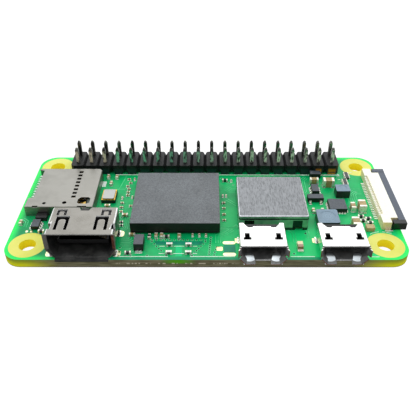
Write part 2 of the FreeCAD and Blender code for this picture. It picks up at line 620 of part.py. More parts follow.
def make_card_socket():
    length, width = "card_right - (card_left)", "card_back - (card_front)"
    middle_x, middle_y = "(card_left + card_right) / 2", "(card_front + card_back) / 2"
    shell = new_body("card_socket_shell")
    outline = sketch(shell, "card_outline", "XY_Plane", BOARD_TOP)
    polygon(outline, [
        ("card_left", "card_front"), ("card_right", "card_front"), ("card_right", "card_back - 0.5"),
        ("card_right - 0.5", "card_back"), ("card_left", "card_back"),
    ])
    pad(shell, "card_block", outline, "card_rise")
    fillet(shell, "card_bends", is_at_height(worked_out(f"{BOARD_TOP} + card_rise")), "card_sheet * 0.8")
    hollow = sketch(shell, "card_hollow_outline", "XY_Plane", BOARD_TOP)
    polygon(hollow, [
        ("card_left - 0.1", "card_front + card_sheet"),
        ("card_right - card_sheet", "card_front + card_sheet"),
        ("card_right - card_sheet", "card_back - 0.6"), ("card_right - 0.6", "card_back - card_sheet"),
        ("card_left - 0.1", "card_back - card_sheet"),
    ])
    pocket(shell, "card_hollow", hollow, "card_rise - card_sheet", backwards=True)
    top = f"{BOARD_TOP} + card_rise"
    windows = sketch(shell, "card_windows", "XY_Plane", top)
    # Long recess in the card mouth, two probing holes, the detect window and the front notches
    polygon(windows, [
        ("card_left - 0.1", "card_front + 2.4"), ("card_left + 0.95", "card_front + 2.7"),
        ("card_left + 0.95", "card_back - 0.7"), ("card_left - 0.1", "card_back - 0.35"),
    ])
    circle(windows, "card_left + 3.2", "card_front + 1.0", "0.6")
    circle(windows, "card_left + 6.65", "card_front + 1.2", "0.75")
    polygon(windows, [
        ("card_right - 2.85", "card_front + 1.2"), ("card_right - 2.5", "card_front + 0.9"),
        ("card_right - 1.2", "card_front + 0.9"), ("card_right - 0.75", "card_front + 1.2"),
        ("card_right - 0.75", "card_front + 2.4"), ("card_right - 1.1", "card_front + 2.75"),
        ("card_right - 2.4", "card_front + 2.75"), ("card_right - 2.85", "card_front + 2.2"),
    ])
    rectangle(windows, "card_left + 1.8", "card_front + 0.05", "0.9", "0.5")
    rectangle(windows, "card_right - 1.9", "card_front + 0.05", "1.6", "0.4")
    pocket(shell, "card_window_cuts", windows, "card_sheet + 0.05")
    probe = sketch(shell, "card_probe_hole_place", "XY_Plane", top)
    rectangle(probe, "card_root - 1.4", "card_contact_row", "0.75", "0.6")
    first = pocket(shell, "card_probe_hole", probe, "card_sheet + 0.05")
    pattern = shell.newObject("PartDesign::LinearPattern", "card_probe_holes")
    pattern.Originals = [first]
    pattern.Direction = (probe, ["V_Axis"])
    bind(pattern, "Length", "card_pitch * (card_contacts - 1)")
    bind(pattern, "Occurrences", "card_contacts")
    shell.Tip = pattern

    base_body = document.addObject("PartDesign::Body", "card_base_body")
    floor = sketch(base_body, "card_floor_outline", "XY_Plane", BOARD_TOP)
    rectangle(floor, f"{middle_x} - 0.25", middle_y, f"{length} - 0.7", f"{width} - 2 * card_sheet - 0.2")
    pad(base_body, "card_floor", floor, "card_base")
    rails = sketch(base_body, "card_rail_outline", "XY_Plane", BOARD_TOP)
    rectangle(rails, "card_right - 0.95", middle_y, "0.7", f"{width} - 2 * card_sheet - 0.2")
    rectangle(rails, f"{middle_x} - 0.5", "card_front + card_sheet + 0.25", f"{length} - 2.4", "0.3")
    pad(base_body, "card_rails", rails, "card_rise - card_sheet - 0.1")
    well = sketch(base_body, "card_well_outline", "XY_Plane", f"{BOARD_TOP} + card_base")
    rectangle(well, "card_root - card_finger / 2 - 0.15", "card_contact_row", "card_finger + 0.3",
              "card_finger_width + 0.2")
    first_well = pocket(base_body, "card_well", well, "card_base - 0.05")
    pattern = base_body.newObject("PartDesign::LinearPattern", "card_wells")
    pattern.Originals = [first_well]
    pattern.Direction = (well, ["V_Axis"])
    bind(pattern, "Length", "card_pitch * (card_contacts - 1)")
    bind(pattern, "Occurrences", "card_contacts")
    base_body.Tip = pattern

    tails = new_body("card_socket_tails")
    profile = sketch(tails, "card_tail_profile", "XZ_Plane",
                     "-(card_contact_row + card_finger_width / 2 - 0.05)")
    above, over = f"{BOARD_TOP} + card_base", f"{BOARD_TOP} + card_base + foil"
    polygon(profile, [
        ("card_root", above), ("card_right - 0.55", above), ("card_right - 0.55", BOARD_TOP),
        ("card_right - 0.25", BOARD_TOP), ("card_right - 0.25", f"{BOARD_TOP} + foil"),
        ("card_right - 0.45", f"{BOARD_TOP} + foil"), ("card_right - 0.45", over), ("card_root", over),
    ])
    tail = pad(tails, "card_tail", profile, "card_finger_width - 0.1")
    repeat_across_card(tails, tail, profile)
    piece(cut("card_socket_base_cut", base_body, tails), "card_socket_base")

    springs = new_body("card_contact_springs")
    profile = sketch(springs, "card_spring_profile", "XZ_Plane",
                     "-(card_contact_row + card_finger_width / 2)")
    polygon(profile, [
        ("card_root - 0.05", over), ("card_root - 0.05 - card_finger * 0.82", f"{over} + 0.42"),
        ("card_root - 0.05 - card_finger", f"{over} + 0.28"),
        ("card_root - 0.05 - card_finger", f"{over} + 0.18"),
        ("card_root - 0.05 - card_finger * 0.82", f"{over} + 0.32"), ("card_root - 0.05", above),
    ])
    finger = pad(springs, "card_finger", profile, "card_finger_width")
    repeat_across_card(springs, finger, profile)

    detect = new_body("card_detect_spring")
    leaf = sketch(detect, "detect_profile", "XZ_Plane", "-(card_front + 1.1)")
    polygon(leaf, [
        ("card_right - 1.33", f"{over} + 0.05"), ("card_right - 1.5", f"{over} + 0.95"),
        ("card_right - 2.75", f"{over} + 0.7"), ("card_right - 2.75", f"{over} + 0.58"),
        ("card_right - 1.6", f"{over} + 0.8"), ("card_right - 1.43", f"{over} + 0.05"),
    ])
    pad(detect, "detect_leaf", leaf, "1.0", backwards=True)


def repeat_across_card(body, feature, profile):
    """Repeat a contact along +Y, against the normal of its XZ-plane sketch."""
    pattern = body.newObject("PartDesign::LinearPattern", f"{feature.Name}_row")
    pattern.Originals = [feature]
    pattern.Direction = (profile, ["N_Axis"])
    pattern.Reversed = True
    bind(pattern, "Length", "card_pitch * (card_contacts - 1)")
    bind(pattern, "Occurrences", "card_contacts")
    body.Tip = pattern


def make_camera_connector():
    contacts = new_body("camera_connector_contacts")
    first = "camera_place - camera_pitch * (camera_contacts - 1) / 2"
    near, far = "(camera_place - camera_half)", "(camera_place + camera_half)"
    profile = sketch(contacts, "camera_contact_profile", "XZ_Plane", f"-({first}) - 0.1")
    foot, under, root = f"{BOARD_TOP} + 0.15", f"{BOARD_TOP} + 0.25", f"{BOARD_TOP} + 0.8"
    polygon(profile, [
        ("camera_left - 0.6", BOARD_TOP), ("camera_left + 0.3", BOARD_TOP), ("camera_left + 0.3", under),
        ("camera_right - 0.5", under), ("camera_right - 0.5", f"{under} + foil"),
        ("camera_left + 0.6", f"{under} + foil"), ("camera_left + 0.6", root), ("camera_left + 0.1", root),
        ("camera_left + 0.1", f"{foot} + 0.2"), ("camera_left - 0.1", foot), ("camera_left - 0.6", foot),
    ])
    strip = pad(contacts, "camera_contact", profile, "0.2")
    pattern = contacts.newObject("PartDesign::LinearPattern", "camera_contact_row")
    pattern.Originals = [strip]
    pattern.Direction = (profile, ["N_Axis"])
    pattern.Reversed = True
    bind(pattern, "Length", "camera_pitch * (camera_contacts - 1)")
    bind(pattern, "Occurrences", "camera_contacts")
    contacts.Tip = pattern

    housing = document.addObject("PartDesign::Body", "camera_housing_body")
    outline = sketch(housing, "camera_outline", "XY_Plane", BOARD_TOP)
    polygon(outline, [
        ("camera_left", near), ("camera_right - 1.25", near),
        ("camera_right - 1.25", f"{near} + 1.3"), ("camera_right", f"{near} + 1.3"),
        ("camera_right", f"{far} - 1.3"), ("camera_right - 1.25", f"{far} - 1.3"),
        ("camera_right - 1.25", far), ("camera_left", far),
    ])
    pad(housing, "camera_block", outline, "camera_rise")
    mouth = sketch(housing, "camera_mouth_outline", "YZ_Plane", "camera_right")
    rectangle(mouth, "camera_place", f"{BOARD_TOP} + 0.6", "2 * camera_half - 3.6", "0.5")
    pocket(housing, "camera_mouth", mouth, "2.0")
    steps = sketch(housing, "camera_step_outline", "XY_Plane", f"{BOARD_TOP} + camera_rise")
    rectangle(steps, "camera_left + 0.1", "camera_place", "0.7", "camera_pitch * camera_contacts + 0.6")
    pocket(housing, "camera_step", steps, "0.35")
    slot = sketch(housing, "camera_slot_outline", "XY_Plane", f"{BOARD_TOP} + camera_rise")
    rectangle(slot, "camera_left + 0.3", first, "0.6", "0.2")
    first_slot = pocket(housing, "camera_slot", slot, "camera_rise - 0.25")
    pattern = housing.newObject("PartDesign::LinearPattern", "camera_slots")
    pattern.Originals = [first_slot]
    pattern.Direction = (slot, ["V_Axis"])
    bind(pattern, "Length", "camera_pitch * (camera_contacts - 1)")
    bind(pattern, "Occurrences", "camera_contacts")
    housing.Tip = pattern
    piece(cut("camera_housing_cut", housing, contacts), "camera_connector_housing")

    arms = []
    for name, side in (("front", -1), ("rear", 1)):
        low_y = f"camera_place + {side} * (camera_half - 0.4) - 0.5"
        arms.append(box(f"latch_arm_{name}", ("camera_right - 0.95", low_y, f"{BOARD_TOP} + 0.1"),
                        ("latch_reach + 0.95", "1.0", "camera_rise - 0.2")))
    bar = box("latch_bar", ("camera_right + latch_gap", f"{near} + 0.2", f"{BOARD_TOP} + 0.15"),
              ("latch_reach - latch_gap", "2 * camera_half - 0.4", "camera_rise - 0.3"))
    tongue = box("latch_tongue", ("camera_right - 1.2", f"{near} + 1.9", f"{BOARD_TOP} + 0.6"),
                 ("latch_reach", "2 * camera_half - 3.8", "0.2"))
    piece(fuse("latch_parts", [bar, tongue] + arms), "camera_connector_latch")

    anchors = []
    for name, low_y in (("front", f"{near} - 0.7"), ("rear", far)):
        anchors.append(box(f"anchor_{name}", ("camera_left + 0.4", low_y, BOARD_TOP), ("1.3", "0.7", "0.3")))
    piece(group("anchor_group", anchors), "camera_connector_anchors")


def make_processor():
    balls = new_body("processor_solder_balls")
    ball = sketch(balls, "ball_outline", "XY_Plane", BOARD_TOP)
    circle(ball, "processor_place - 6.5", "processor_row - 6.5", "0.45")
    first = pad(balls, "ball", ball, "ball_rise")
    pattern = balls.newObject("PartDesign::MultiTransform", "ball_grid")
    pattern.Originals = [first]
    steps = []
    for axis in ("H_Axis", "V_Axis"):
        step = balls.newObject("PartDesign::LinearPattern", f"ball_{axis[0]}")
        step.Direction = (ball, [axis])
        step.Length = 13.0
        step.Occurrences = 11
        steps.append(step)
    pattern.Transformations = steps
    balls.Tip = pattern
    side = "processor_side"
    for label, low, high in (("processor_substrate", "ball_rise", "substrate_rise"),
                             ("processor_mould", "ball_rise + substrate_rise", "mould_rise")):
        body = new_body(label)
        outline = sketch(body, f"{label}_outline", "XY_Plane", f"{BOARD_TOP} + {low}")
        rectangle(outline, "processor_place", "processor_row", side, side)
        pad(body, f"{label}_pad", outline, high)


def make_wireless_module():
    middle_x, middle_y = "(can_left + can_right) / 2", "(can_front + can_back) / 2"
    length, width = "can_right - can_left", "can_back - (can_front)"
    can = new_body("wireless_shield_can")
    outline = sketch(can, "can_outline", "XY_Plane", BOARD_TOP)
    rectangle(outline, middle_x, middle_y, length, width)
    pad(can, "can_block", outline, "can_rise")
    fillet(can, "can_corners", is_upright, "can_radius")
    fillet(can, "can_bend", is_at_height(worked_out(f"{BOARD_TOP} + can_rise")), "can_radius * 0.7")
    hollow = sketch(can, "can_hollow_outline", "XY_Plane", BOARD_TOP)
    rectangle(hollow, middle_x, middle_y, f"{length} - 2 * can_sheet", f"{width} - 2 * can_sheet")
    pocket(can, "can_hollow", hollow, "can_rise - can_sheet", backwards=True)
    notches = sketch(can, "can_notch_outline", "XY_Plane", BOARD_TOP)
    for place in ("can_left + 1.9", "can_right - 1.5"):
        rectangle(notches, place, "can_front", "1.3", "0.6")
    pocket(can, "can_notches", notches, "0.55", backwards=True)
    piece(standing_box("module_board", middle_x, middle_y, BOARD_TOP, ("10.6", "10.6", "0.3")),
          "wireless_module_substrate")
    piece(standing_box("module_chip", middle_x, middle_y, f"{BOARD_TOP} + 0.3", ("5.5", "5.0", "0.8")),
          "wireless_chip")


def rounded_block(label, place, size, radius, recess=None):
    """A block with rounded upright edges, with a shallow round recess in its top if asked."""
    body = new_body(label)
    outline = sketch(body, f"{label}_outline", "XY_Plane", BOARD_TOP)
    rectangle(outline, place[0], place[1], size[0], size[1])
    pad(body, f"{label}_pad", outline, size[2])
    fillet(body, f"{label}_corners", is_upright, radius)
    if recess:
        dish = sketch(body, f"{label}_dish", "XY_Plane", f"{BOARD_TOP} + {size[2]}")
        circle(dish, place[0], place[1], recess)
        pocket(body, f"{label}_recess", dish, "0.04")


def leaded_chip(label, place, size, standoff, leads, reach):
    """A moulded chip above the board, with a gull lead at each listed place along two of its sides."""
    body = standing_box(f"{label}_block", place[0], place[1], f"{BOARD_TOP} + {standoff}", size)
    piece(body, f"{label}_body")
    parts = []
    for index, (side_x, side_y, offset) in enumerate(leads):
        if side_x:
            inner = f"{place[0]} + {side_x} * {size[0]} / 2"
            centre_x, centre_y = f"{inner} + {side_x} * {reach} / 2", f"{place[1]} + {offset}"
            foot = (reach, "0.3", "0.15")
            riser_x, riser_y = f"{inner} + {side_x} * 0.06", centre_y
            riser = ("0.12", "0.3", f"{standoff} + 0.35")
        else:
            inner = f"{place[1]} + {side_y} * {size[1]} / 2"
            centre_x, centre_y = f"{place[0]} + {offset}", f"{inner} + {side_y} * {reach} / 2"
            foot = ("0.4", reach, "0.15")
            riser_x, riser_y = centre_x, f"{inner} + {side_y} * 0.06"
            riser = ("0.4", "0.12", f"{standoff} + 0.35")
        flat = standing_box(f"{label}_foot_{index}", centre_x, centre_y, BOARD_TOP, foot)
        upright = standing_box(f"{label}_riser_{index}", riser_x, riser_y, BOARD_TOP, riser)
        parts.append(fuse(f"{label}_lead_{index}", [flat, upright]))
    piece(group(f"{label}_lead_group", parts), f"{label}_leads")


def make_power_parts():
    rounded_block("inductor_large", ("20.4", "-5.9"), ("3.6", "3.7", "1.6"), "0.35", recess="2.6")
    rounded_block("inductor_medium", ("24.5", "2.35"), ("2.5", "2.1", "1.55"), "0.2", recess="1.5")
    rounded_block("inductor_small", ("20.5", "8.2"), ("2.0", "1.2", "1.0"), "0.12")
    controller = standing_box("controller_block", "22.9", "-1.55", f"{BOARD_TOP} + 0.05",
                              ("3.0", "3.0", "0.85"))
    piece(controller, "power_controller_body")
    lands = []
    for index in range(6):
        offset = f"({index} - 2.5) * 0.45"
        for side in (-1, 1):
            lands.append(standing_box(f"land_x_{index}_{side + 1}",
                                      f"22.9 + {side} * 1.6", f"-1.55 + {offset}",
                                      BOARD_TOP, ("0.2", "0.22", "0.2")))
            lands.append(standing_box(f"land_y_{index}_{side + 1}",
                                      f"22.9 + {offset}", f"-1.55 + {side} * 1.6",
                                      BOARD_TOP, ("0.22", "0.2", "0.2")))
    piece(group("land_group", lands), "power_controller_lands")
    leaded_chip("regulator", ("19.4", "0.6"), ("2.8", "1.3", "0.9"), "0.1",
                [(0, -1, "-0.95"), (0, -1, "0.95"), (0, 1, "0")], "0.5")
    leaded_chip("power_switch", ("19.8", "3.5"), ("1.3", "2.2", "0.75"), "0.05",
                [(side, 0, offset) for side in (-1, 1) for offset in ("-0.75", "0", "0.75")], "0.3")
    leaded_chip("protection_chip", ("-28.7", "-6.7"), ("1.3", "2.0", "0.7"), "0.05",
                [(side, 0, offset) for side in (-1, 1) for offset in ("-0.65", "0", "0.65")], "0.35")
    piece(standing_box("filter_block", "-28.2", "-4.7", BOARD_TOP, ("1.9", "1.3", "0.8")), "line_filter")
    piece(standing_box("bead_block", "27.3", "-7.6", BOARD_TOP, ("1.4", "1.1", "0.8")), "ferrite_bead")


def make_diode_and_light():
    piece(standing_box("diode_block", "-10.85", "-11.75", f"{BOARD_TOP} + 0.08", ("1.55", "2.5", "1.4")),
          "diode_body")
    ends = [standing_box(f"diode_end_{index}", "-10.85", f"-11.75 + {side} * 1.45", BOARD_TOP,
                         ("1.0", "0.4", "0.35"))
            for index, side in enumerate((-1, 1))]
    piece(group("diode_ends", ends), "diode_terminals")
    piece(standing_box("light_board", "15.0", "-12.2", BOARD_TOP, ("0.9", "2.0", "0.3")), "status_light_base")
    piece(standing_box("light_block", "15.0", "-12.2", f"{BOARD_TOP} + 0.3", ("0.9", "1.4", "0.6")),
          "status_light_lens")


def make_crystal():
    place, base_rise, rim_rise, lid_rise = ("-17.5", "1.3"), "0.65", "0.12", "0.2"
    piece(standing_box("crystal_block", *place, BOARD_TOP, ("2.5", "3.2", base_rise)), "crystal_base")
    piece(standing_box("crystal_ring", *place, f"{BOARD_TOP} + {base_rise}", ("2.4", "3.1", rim_rise)),
          "crystal_rim")
    rounded = document.addObject("PartDesign::Body", "crystal_lid_body")
    outline = sketch(rounded, "crystal_lid_outline", "XY_Plane", f"{BOARD_TOP} + {base_rise} + {rim_rise}")
    rectangle(outline, *place, "2.1", "2.8")
    pad(rounded, "crystal_lid_pad", outline, lid_rise)
    fillet(rounded, "crystal_lid_corners", is_upright, "0.3")
    piece(rounded, "crystal_lid")


def two_ended_chip(name, size, place_x, place_y, ends_along):
    """A ceramic block between two metal end caps, as one body and two terminals."""
    long_size, wide, tall, end = (f"{size}_{part}" for part in ("long", "wide", "tall", "end"))
    skin = "0.02"
    block = (f"{long_size} - 2 * {end}", f"{wide} - 2 * {skin}", f"{tall} - 2 * {skin}")
    cap = (end, wide, tall)
    if ends_along == "Y":
        block = (block[1], block[0], block[2])
        cap = (wide, end, tall)
    body = standing_box(f"{name}_block", place_x, place_y, f"{BOARD_TOP} + {skin}", block)
    caps = []
    for index, side in enumerate((-1, 1)):
        shift = f"{side} * ({long_size} - {end}) / 2"
        cap_x = f"{place_x} + {shift}" if ends_along == "X" else f"{place_x}"
        cap_y = f"{place_y} + {shift}" if ends_along == "Y" else f"{place_y}"
        caps.append(standing_box(f"{name}_cap_{index}", cap_x, cap_y, BOARD_TOP, cap))
    return body, caps


def make_chip_group(kind, places):
    bodies, terminals = [], []
    for index, (size, place_x, place_y, ends_along) in enumerate(places):
        body, caps = two_ended_chip(f"{kind}_{index}", size, place_x, place_y, ends_along)
        bodies.append(body)
        terminals += caps
    piece(group(f"{kind}_body_group", bodies), f"{kind}_bodies")
    piece(group(f"{kind}_terminal_group", terminals), f"{kind}_terminals")


def make_resistor_arrays():
    """Blocks of four resistors, with four terminals along each long side."""
    bodies, terminals = [], []
    for number, (place_x, place_y) in enumerate(((25.8, 6.0), (26.5, 8.2))):
        name = f"array_{number}"
        bodies.append(standing_box(f"{name}_block", place_x, place_y, f"{BOARD_TOP} + 0.02",
                                   ("0.6", "2.0", "0.4")))
        for index in range(4):
            for side in (-1, 1):
                terminals.append(standing_box(
                    f"{name}_end_{index}_{side + 1}", f"{place_x} + {side} * 0.4",
                    f"{place_y} + ({index} - 1.5) * 0.5", BOARD_TOP, ("0.2", "0.3", "0.42")))
    piece(group("array_bodies", bodies), "resistor_array_bodies")
    piece(group("array_terminals", terminals), "resistor_array_terminals")


def make_bare_pads():
    """Tinned lands of the unfitted coaxial socket and two solder dots by the card socket."""
    thickness = "0.04"
    pads = [standing_box(f"ground_land_{index}", "3.65", place_y, BOARD_TOP, ("2.1", "0.75", thickness))
            for index, place_y in enumerate(("-10.95", "-13.75"))]
    pads.append(standing_box("signal_land", "2.1", "-12.4", BOARD_TOP, ("1.0", "1.0", thickness)))
    for index, place_x in enumerate(("-30.0", "-29.2")):
        pads.append(standing_box(f"test_land_{index}", place_x, "-8.1", BOARD_TOP, ("0.4", "0.5", thickness)))
    piece(group("land_pads", pads), "bare_pads")


make_circuit_board()
make_pin_header()
make_display_port()
make_usb_port("data_port", "data_place", DATA_LEGS)
make_usb_port("power_port", "power_place", POWER_LEGS)
make_port_solder_joints()
make_card_socket()
make_camera_connector()
make_processor()
make_wireless_module()
make_power_parts()
make_diode_and_light()
make_crystal()
make_chip_group("capacitor", CAPACITORS)
make_chip_group("resistor", RESISTORS)
make_resistor_arrays()
make_bare_pads()
document.recompute()

for item in document.Objects:
    if "Invalid" in item.State or "Error" in item.State:
        raise RuntimeError(f"{item.Label} did not build: {item.State}")
for item in pieces:
    if item.Shape.isNull() or not item.Shape.isValid():
        raise RuntimeError(f"{item.Label} has no valid shape")

os.makedirs("parts", exist_ok=True)
for item in pieces:
    item.Shape.exportStep(f"parts/{item.Label}.step")
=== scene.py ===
import json
import math

import bmesh
import bpy
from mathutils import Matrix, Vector


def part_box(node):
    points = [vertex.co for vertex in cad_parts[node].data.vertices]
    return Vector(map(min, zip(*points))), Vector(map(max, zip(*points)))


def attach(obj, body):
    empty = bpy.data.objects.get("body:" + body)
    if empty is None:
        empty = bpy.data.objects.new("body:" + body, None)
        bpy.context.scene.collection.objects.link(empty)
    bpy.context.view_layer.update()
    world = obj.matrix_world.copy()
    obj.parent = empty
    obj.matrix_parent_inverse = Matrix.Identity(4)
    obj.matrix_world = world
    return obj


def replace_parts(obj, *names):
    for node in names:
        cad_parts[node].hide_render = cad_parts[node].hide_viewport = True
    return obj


# The looks of a single board computer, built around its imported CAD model. The frame is in metres;
# meshes and textures here are worked out in millimetres, in the same axes, and scaled by MM.

MM = 0.001

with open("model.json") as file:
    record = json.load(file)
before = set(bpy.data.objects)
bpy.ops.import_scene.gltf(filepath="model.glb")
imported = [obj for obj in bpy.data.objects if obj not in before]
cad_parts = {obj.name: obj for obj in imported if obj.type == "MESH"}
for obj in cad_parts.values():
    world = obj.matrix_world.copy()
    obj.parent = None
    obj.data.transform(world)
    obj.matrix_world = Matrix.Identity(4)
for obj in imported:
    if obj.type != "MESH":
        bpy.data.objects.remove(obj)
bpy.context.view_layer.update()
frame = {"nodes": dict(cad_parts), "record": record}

NODES = frame["nodes"]
BODY_OF = {node: body for body, names in frame["record"]["behaviour"]["bodies"].items() for node in names}


def node_box(node):
    """Lowest and highest corner of a CAD node, in millimetres."""
    low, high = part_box(node)
    return low / MM, high / MM


BOARD_HIGH = node_box("circuit_board")[1]
TOP = BOARD_HIGH.z
HALF_LONG, HALF_WIDE = BOARD_HIGH.x, BOARD_HIGH.y
CORNER = 3.0
HOLE_X, HOLE_Y = 29.0, 11.5
RING_RADIUS = 3.02
HEADER_ROW = 11.5

# The mask's surface, where drawn pieces start just below it, and how far each kind stands out of it
MASK = TOP + 0.004
DRAWN_FOOT = MASK - 0.003
COPPER_RISE = 0.018
INK_RISE = 0.02
PATCH_RISE = 0.006


def srgb(red, green, blue):
    """A colour given as it shows on a screen, 0 to 255, as the linear colour that shaders take."""
    def linear(value):
        share = value / 255
        return share / 12.92 if share <= 0.04045 else ((share + 0.055) / 1.055) ** 2.4

    return (linear(red), linear(green), linear(blue), 1.0)


def grey(level):
    """An even grey, as a linear colour."""
    return (level, level, level, 1.0)


# ---------------------------------------------------------------- camera, stage and light


def make_camera():
    """The photograph's viewpoint: in front of the long edge, looking down at the board."""
    data = bpy.data.cameras.new("photo_camera")
    data.lens = 47.54
    data.sensor_width = 36.0
    data.clip_start = 0.005
    camera = bpy.data.objects.new("photo_camera", data)
    camera.location = Vector((0.28, -78.45, 60.35)) * MM
    camera.rotation_euler = (math.radians(52.59), 0.0, math.radians(0.04))
    bpy.context.scene.collection.objects.link(camera)
    bpy.context.scene.camera = camera


def make_floor(name, height, seen):
    """A large square under the object. Two share the work: the one the camera sees is plain and pale,
    with walls round it as a backdrop, and the one that light bounces from is darker, as the table under
    the board is."""
    reach = 900.0 * MM
    mesh = bpy.data.meshes.new(name)
    square = [(-reach, -reach), (reach, -reach), (reach, reach), (-reach, reach)]
    corners = [(x, y, height) for x, y in square]
    faces = [(0, 1, 2, 3)]
    if seen:
        corners += [(x, y, height + reach) for x, y in square]
        faces += [(0, 1, 5, 4), (1, 2, 6, 5), (2, 3, 7, 6), (3, 0, 4, 7)]
    mesh.from_pydata(corners, [], faces)
    floor = bpy.data.objects.new(name, mesh)
    bpy.context.scene.collection.objects.link(floor)
    floor.visible_camera = seen
    floor.visible_diffuse = not seen
    floor.visible_glossy = not seen
    floor.visible_shadow = not seen
    paint = Paint(name, 0.9)
    if seen:
        paint.colour(grey(0.1))
        paint.glow(grey(1.0))
    else:
        paint.colour(grey(0.33))
    mesh.materials.append(paint.material)


def make_sky():
    """A studio's even surround: bright above and behind the object, dim in front of it."""
    world = bpy.data.worlds.new("studio")
    bpy.context.scene.world = world
    world.use_nodes = True
    tree = world.node_tree
    direction = tree.nodes.new("ShaderNodeTexCoord")
    lean = tree.nodes.new("ShaderNodeVectorMath")
    lean.operation = "DOT_PRODUCT"
    lean.inputs[1].default_value = (0.0, 0.55, 0.83)
    spread = tree.nodes.new("ShaderNodeMapRange")
    spread.interpolation_type = "SMOOTHSTEP"
    spread.inputs["From Min"].default_value = -0.15
    spread.inputs["From Max"].default_value = 0.85
    spread.inputs["To Min"].default_value = 0.18
    spread.inputs["To Max"].default_value = 1.35
    tree.nodes["Background"].inputs["Color"].default_value = (0.97, 0.99, 1.0, 1.0)
    tree.links.new(direction.outputs["Generated"], lean.inputs[0])
    tree.links.new(lean.outputs["Value"], spread.inputs["Value"])
    tree.links.new(spread.outputs["Result"], tree.nodes["Background"].inputs["Strength"])


def make_light(name, place, target, size, power):
    """A square softbox at place, in millimetres, turned to target."""
    data = bpy.data.lights.new(name, "AREA")
    data.size = size * MM
    data.energy = power
    light = bpy.data.objects.new(name, data)
    light.location = Vector(place) * MM
    light.rotation_euler = (Vector(target) - Vector(place)).to_track_quat("-Z", "Y").to_euler()
    bpy.context.scene.collection.objects.link(light)


# ---------------------------------------------------------------- materials


MASK_SHEEN = 0.2


class Paint:
    """One node-based material while it is being put together. Its textures are placed in millimetres."""

    def __init__(self, name, roughness, metallic=0.0, sheen=0.5):
        self.material = bpy.data.materials.new(name)
        self.material.use_nodes = True
        self.tree = self.material.node_tree
        self.shader = self.tree.nodes["Principled BSDF"]
        self.shader.inputs["Roughness"].default_value = roughness
        self.shader.inputs["Metallic"].default_value = metallic
        self.shader.inputs["Specular IOR Level"].default_value = sheen
        source = self.tree.nodes.new("ShaderNodeTexCoord")
        facing = self.add("SeparateXYZ", Vector=source.outputs["Normal"])
        self.face_y, self.face_z = facing.outputs[1:]
        self.place = self.add("VectorMath", "SCALE", Vector=source.outputs["Object"], Scale=1 / MM).outputs[0]
        self.x, self.y, self.z = self.add("SeparateXYZ", Vector=self.place).outputs

    def add(self, kind, operation=None, **inputs):
        """Adds a node and fills its named inputs, each with a socket to link or a value to set."""
        node = self.tree.nodes.new("ShaderNode" + kind)
        if operation:
            node.operation = operation
        for name, value in inputs.items():
            self.fill(node.inputs[name.replace("_", " ")], value)
        return node

    def fill(self, socket, value):
        if isinstance(value, bpy.types.NodeSocket):
            self.tree.links.new(value, socket)
        else:
            socket.default_value = value

    def math(self, operation, *values):
        node = self.tree.nodes.new("ShaderNodeMath")
        node.operation = operation
        for socket, value in zip(node.inputs, values):
            self.fill(socket, value)
        return node.outputs[0]

    def times(self, first, second):
        return self.math("MULTIPLY", first, second)

    def size_of(self, value):
        return self.math("ABSOLUTE", value)

    def rise(self, value, low, high, start=0.0, end=1.0):
        """A smooth ramp from start to end while value goes from low to high."""
        node = self.tree.nodes.new("ShaderNodeMapRange")
        node.interpolation_type = "SMOOTHSTEP"
        names = ("Value", "From Min", "From Max", "To Min", "To Max")
        for name, amount in zip(names, (value, low, high, start, end)):
            self.fill(node.inputs[name], amount)
        return node.outputs["Result"]

    def mix(self, share, first, second):
        """The colour between first and second."""
        node = self.tree.nodes.new("ShaderNodeMix")
        node.data_type = "RGBA"
        for index, value in ((0, share), (6, first), (7, second)):
            self.fill(node.inputs[index], value)
        return node.outputs[2]

    def noise(self, scale, detail=3.0, stretch=(1.0, 1.0, 1.0), roughness=0.5):
        """Fractal noise from about 0.25 to 0.75; scale is in waves per millimetre along each axis."""
        stretched = self.add("VectorMath", "MULTIPLY").outputs[0]
        self.fill(stretched.node.inputs[0], self.place)
        self.fill(stretched.node.inputs[1], stretch)
        node = self.add("TexNoise", Vector=stretched, Scale=scale, Detail=detail, Roughness=roughness)
        return node.outputs["Fac"]

    def distance(self, centre):
        """How far a point is from centre along x and y, mirrored into the quarter where both are positive."""
        mirrored = self.add("VectorMath", "ABSOLUTE")
        self.fill(mirrored.inputs[0], self.place)
        moved = self.add("VectorMath", "SUBTRACT")
        self.fill(moved.inputs[0], mirrored.outputs[0])
        self.fill(moved.inputs[1], centre)
        flat = self.add("VectorMath", "MULTIPLY")
        self.fill(flat.inputs[0], moved.outputs[0])
        self.fill(flat.inputs[1], (1.0, 1.0, 0.0))
        return flat.outputs[0]

    def length(self, vector):
        node = self.add("VectorMath", "LENGTH")
        self.fill(node.inputs[0], vector)
        return node.outputs["Value"]

    def inside(self, value, low, high, soft=0.05):
        """1 while value is between low and high, with soft ends."""
        entered = self.rise(value, low - soft, low + soft)
        return self.times(entered, self.rise(value, high + soft, high - soft))

    def colour(self, value):
        self.fill(self.shader.inputs["Base Color"], value)

    def glow(self, value):
        """Light that comes through from behind, as in translucent laminate."""
        self.fill(self.shader.inputs["Emission Color"], value)
        self.shader.inputs["Emission Strength"].default_value = 1.0

    def rough(self, value):
        self.fill(self.shader.inputs["Roughness"], value)

    def bump(self, height, depth, strength=1.0):
        """Relief of the given depth in millimetres."""
        node = self.add("Bump", Strength=strength, Distance=depth * MM, Height=height)
        self.tree.links.new(node.outputs[0], self.shader.inputs["Normal"])


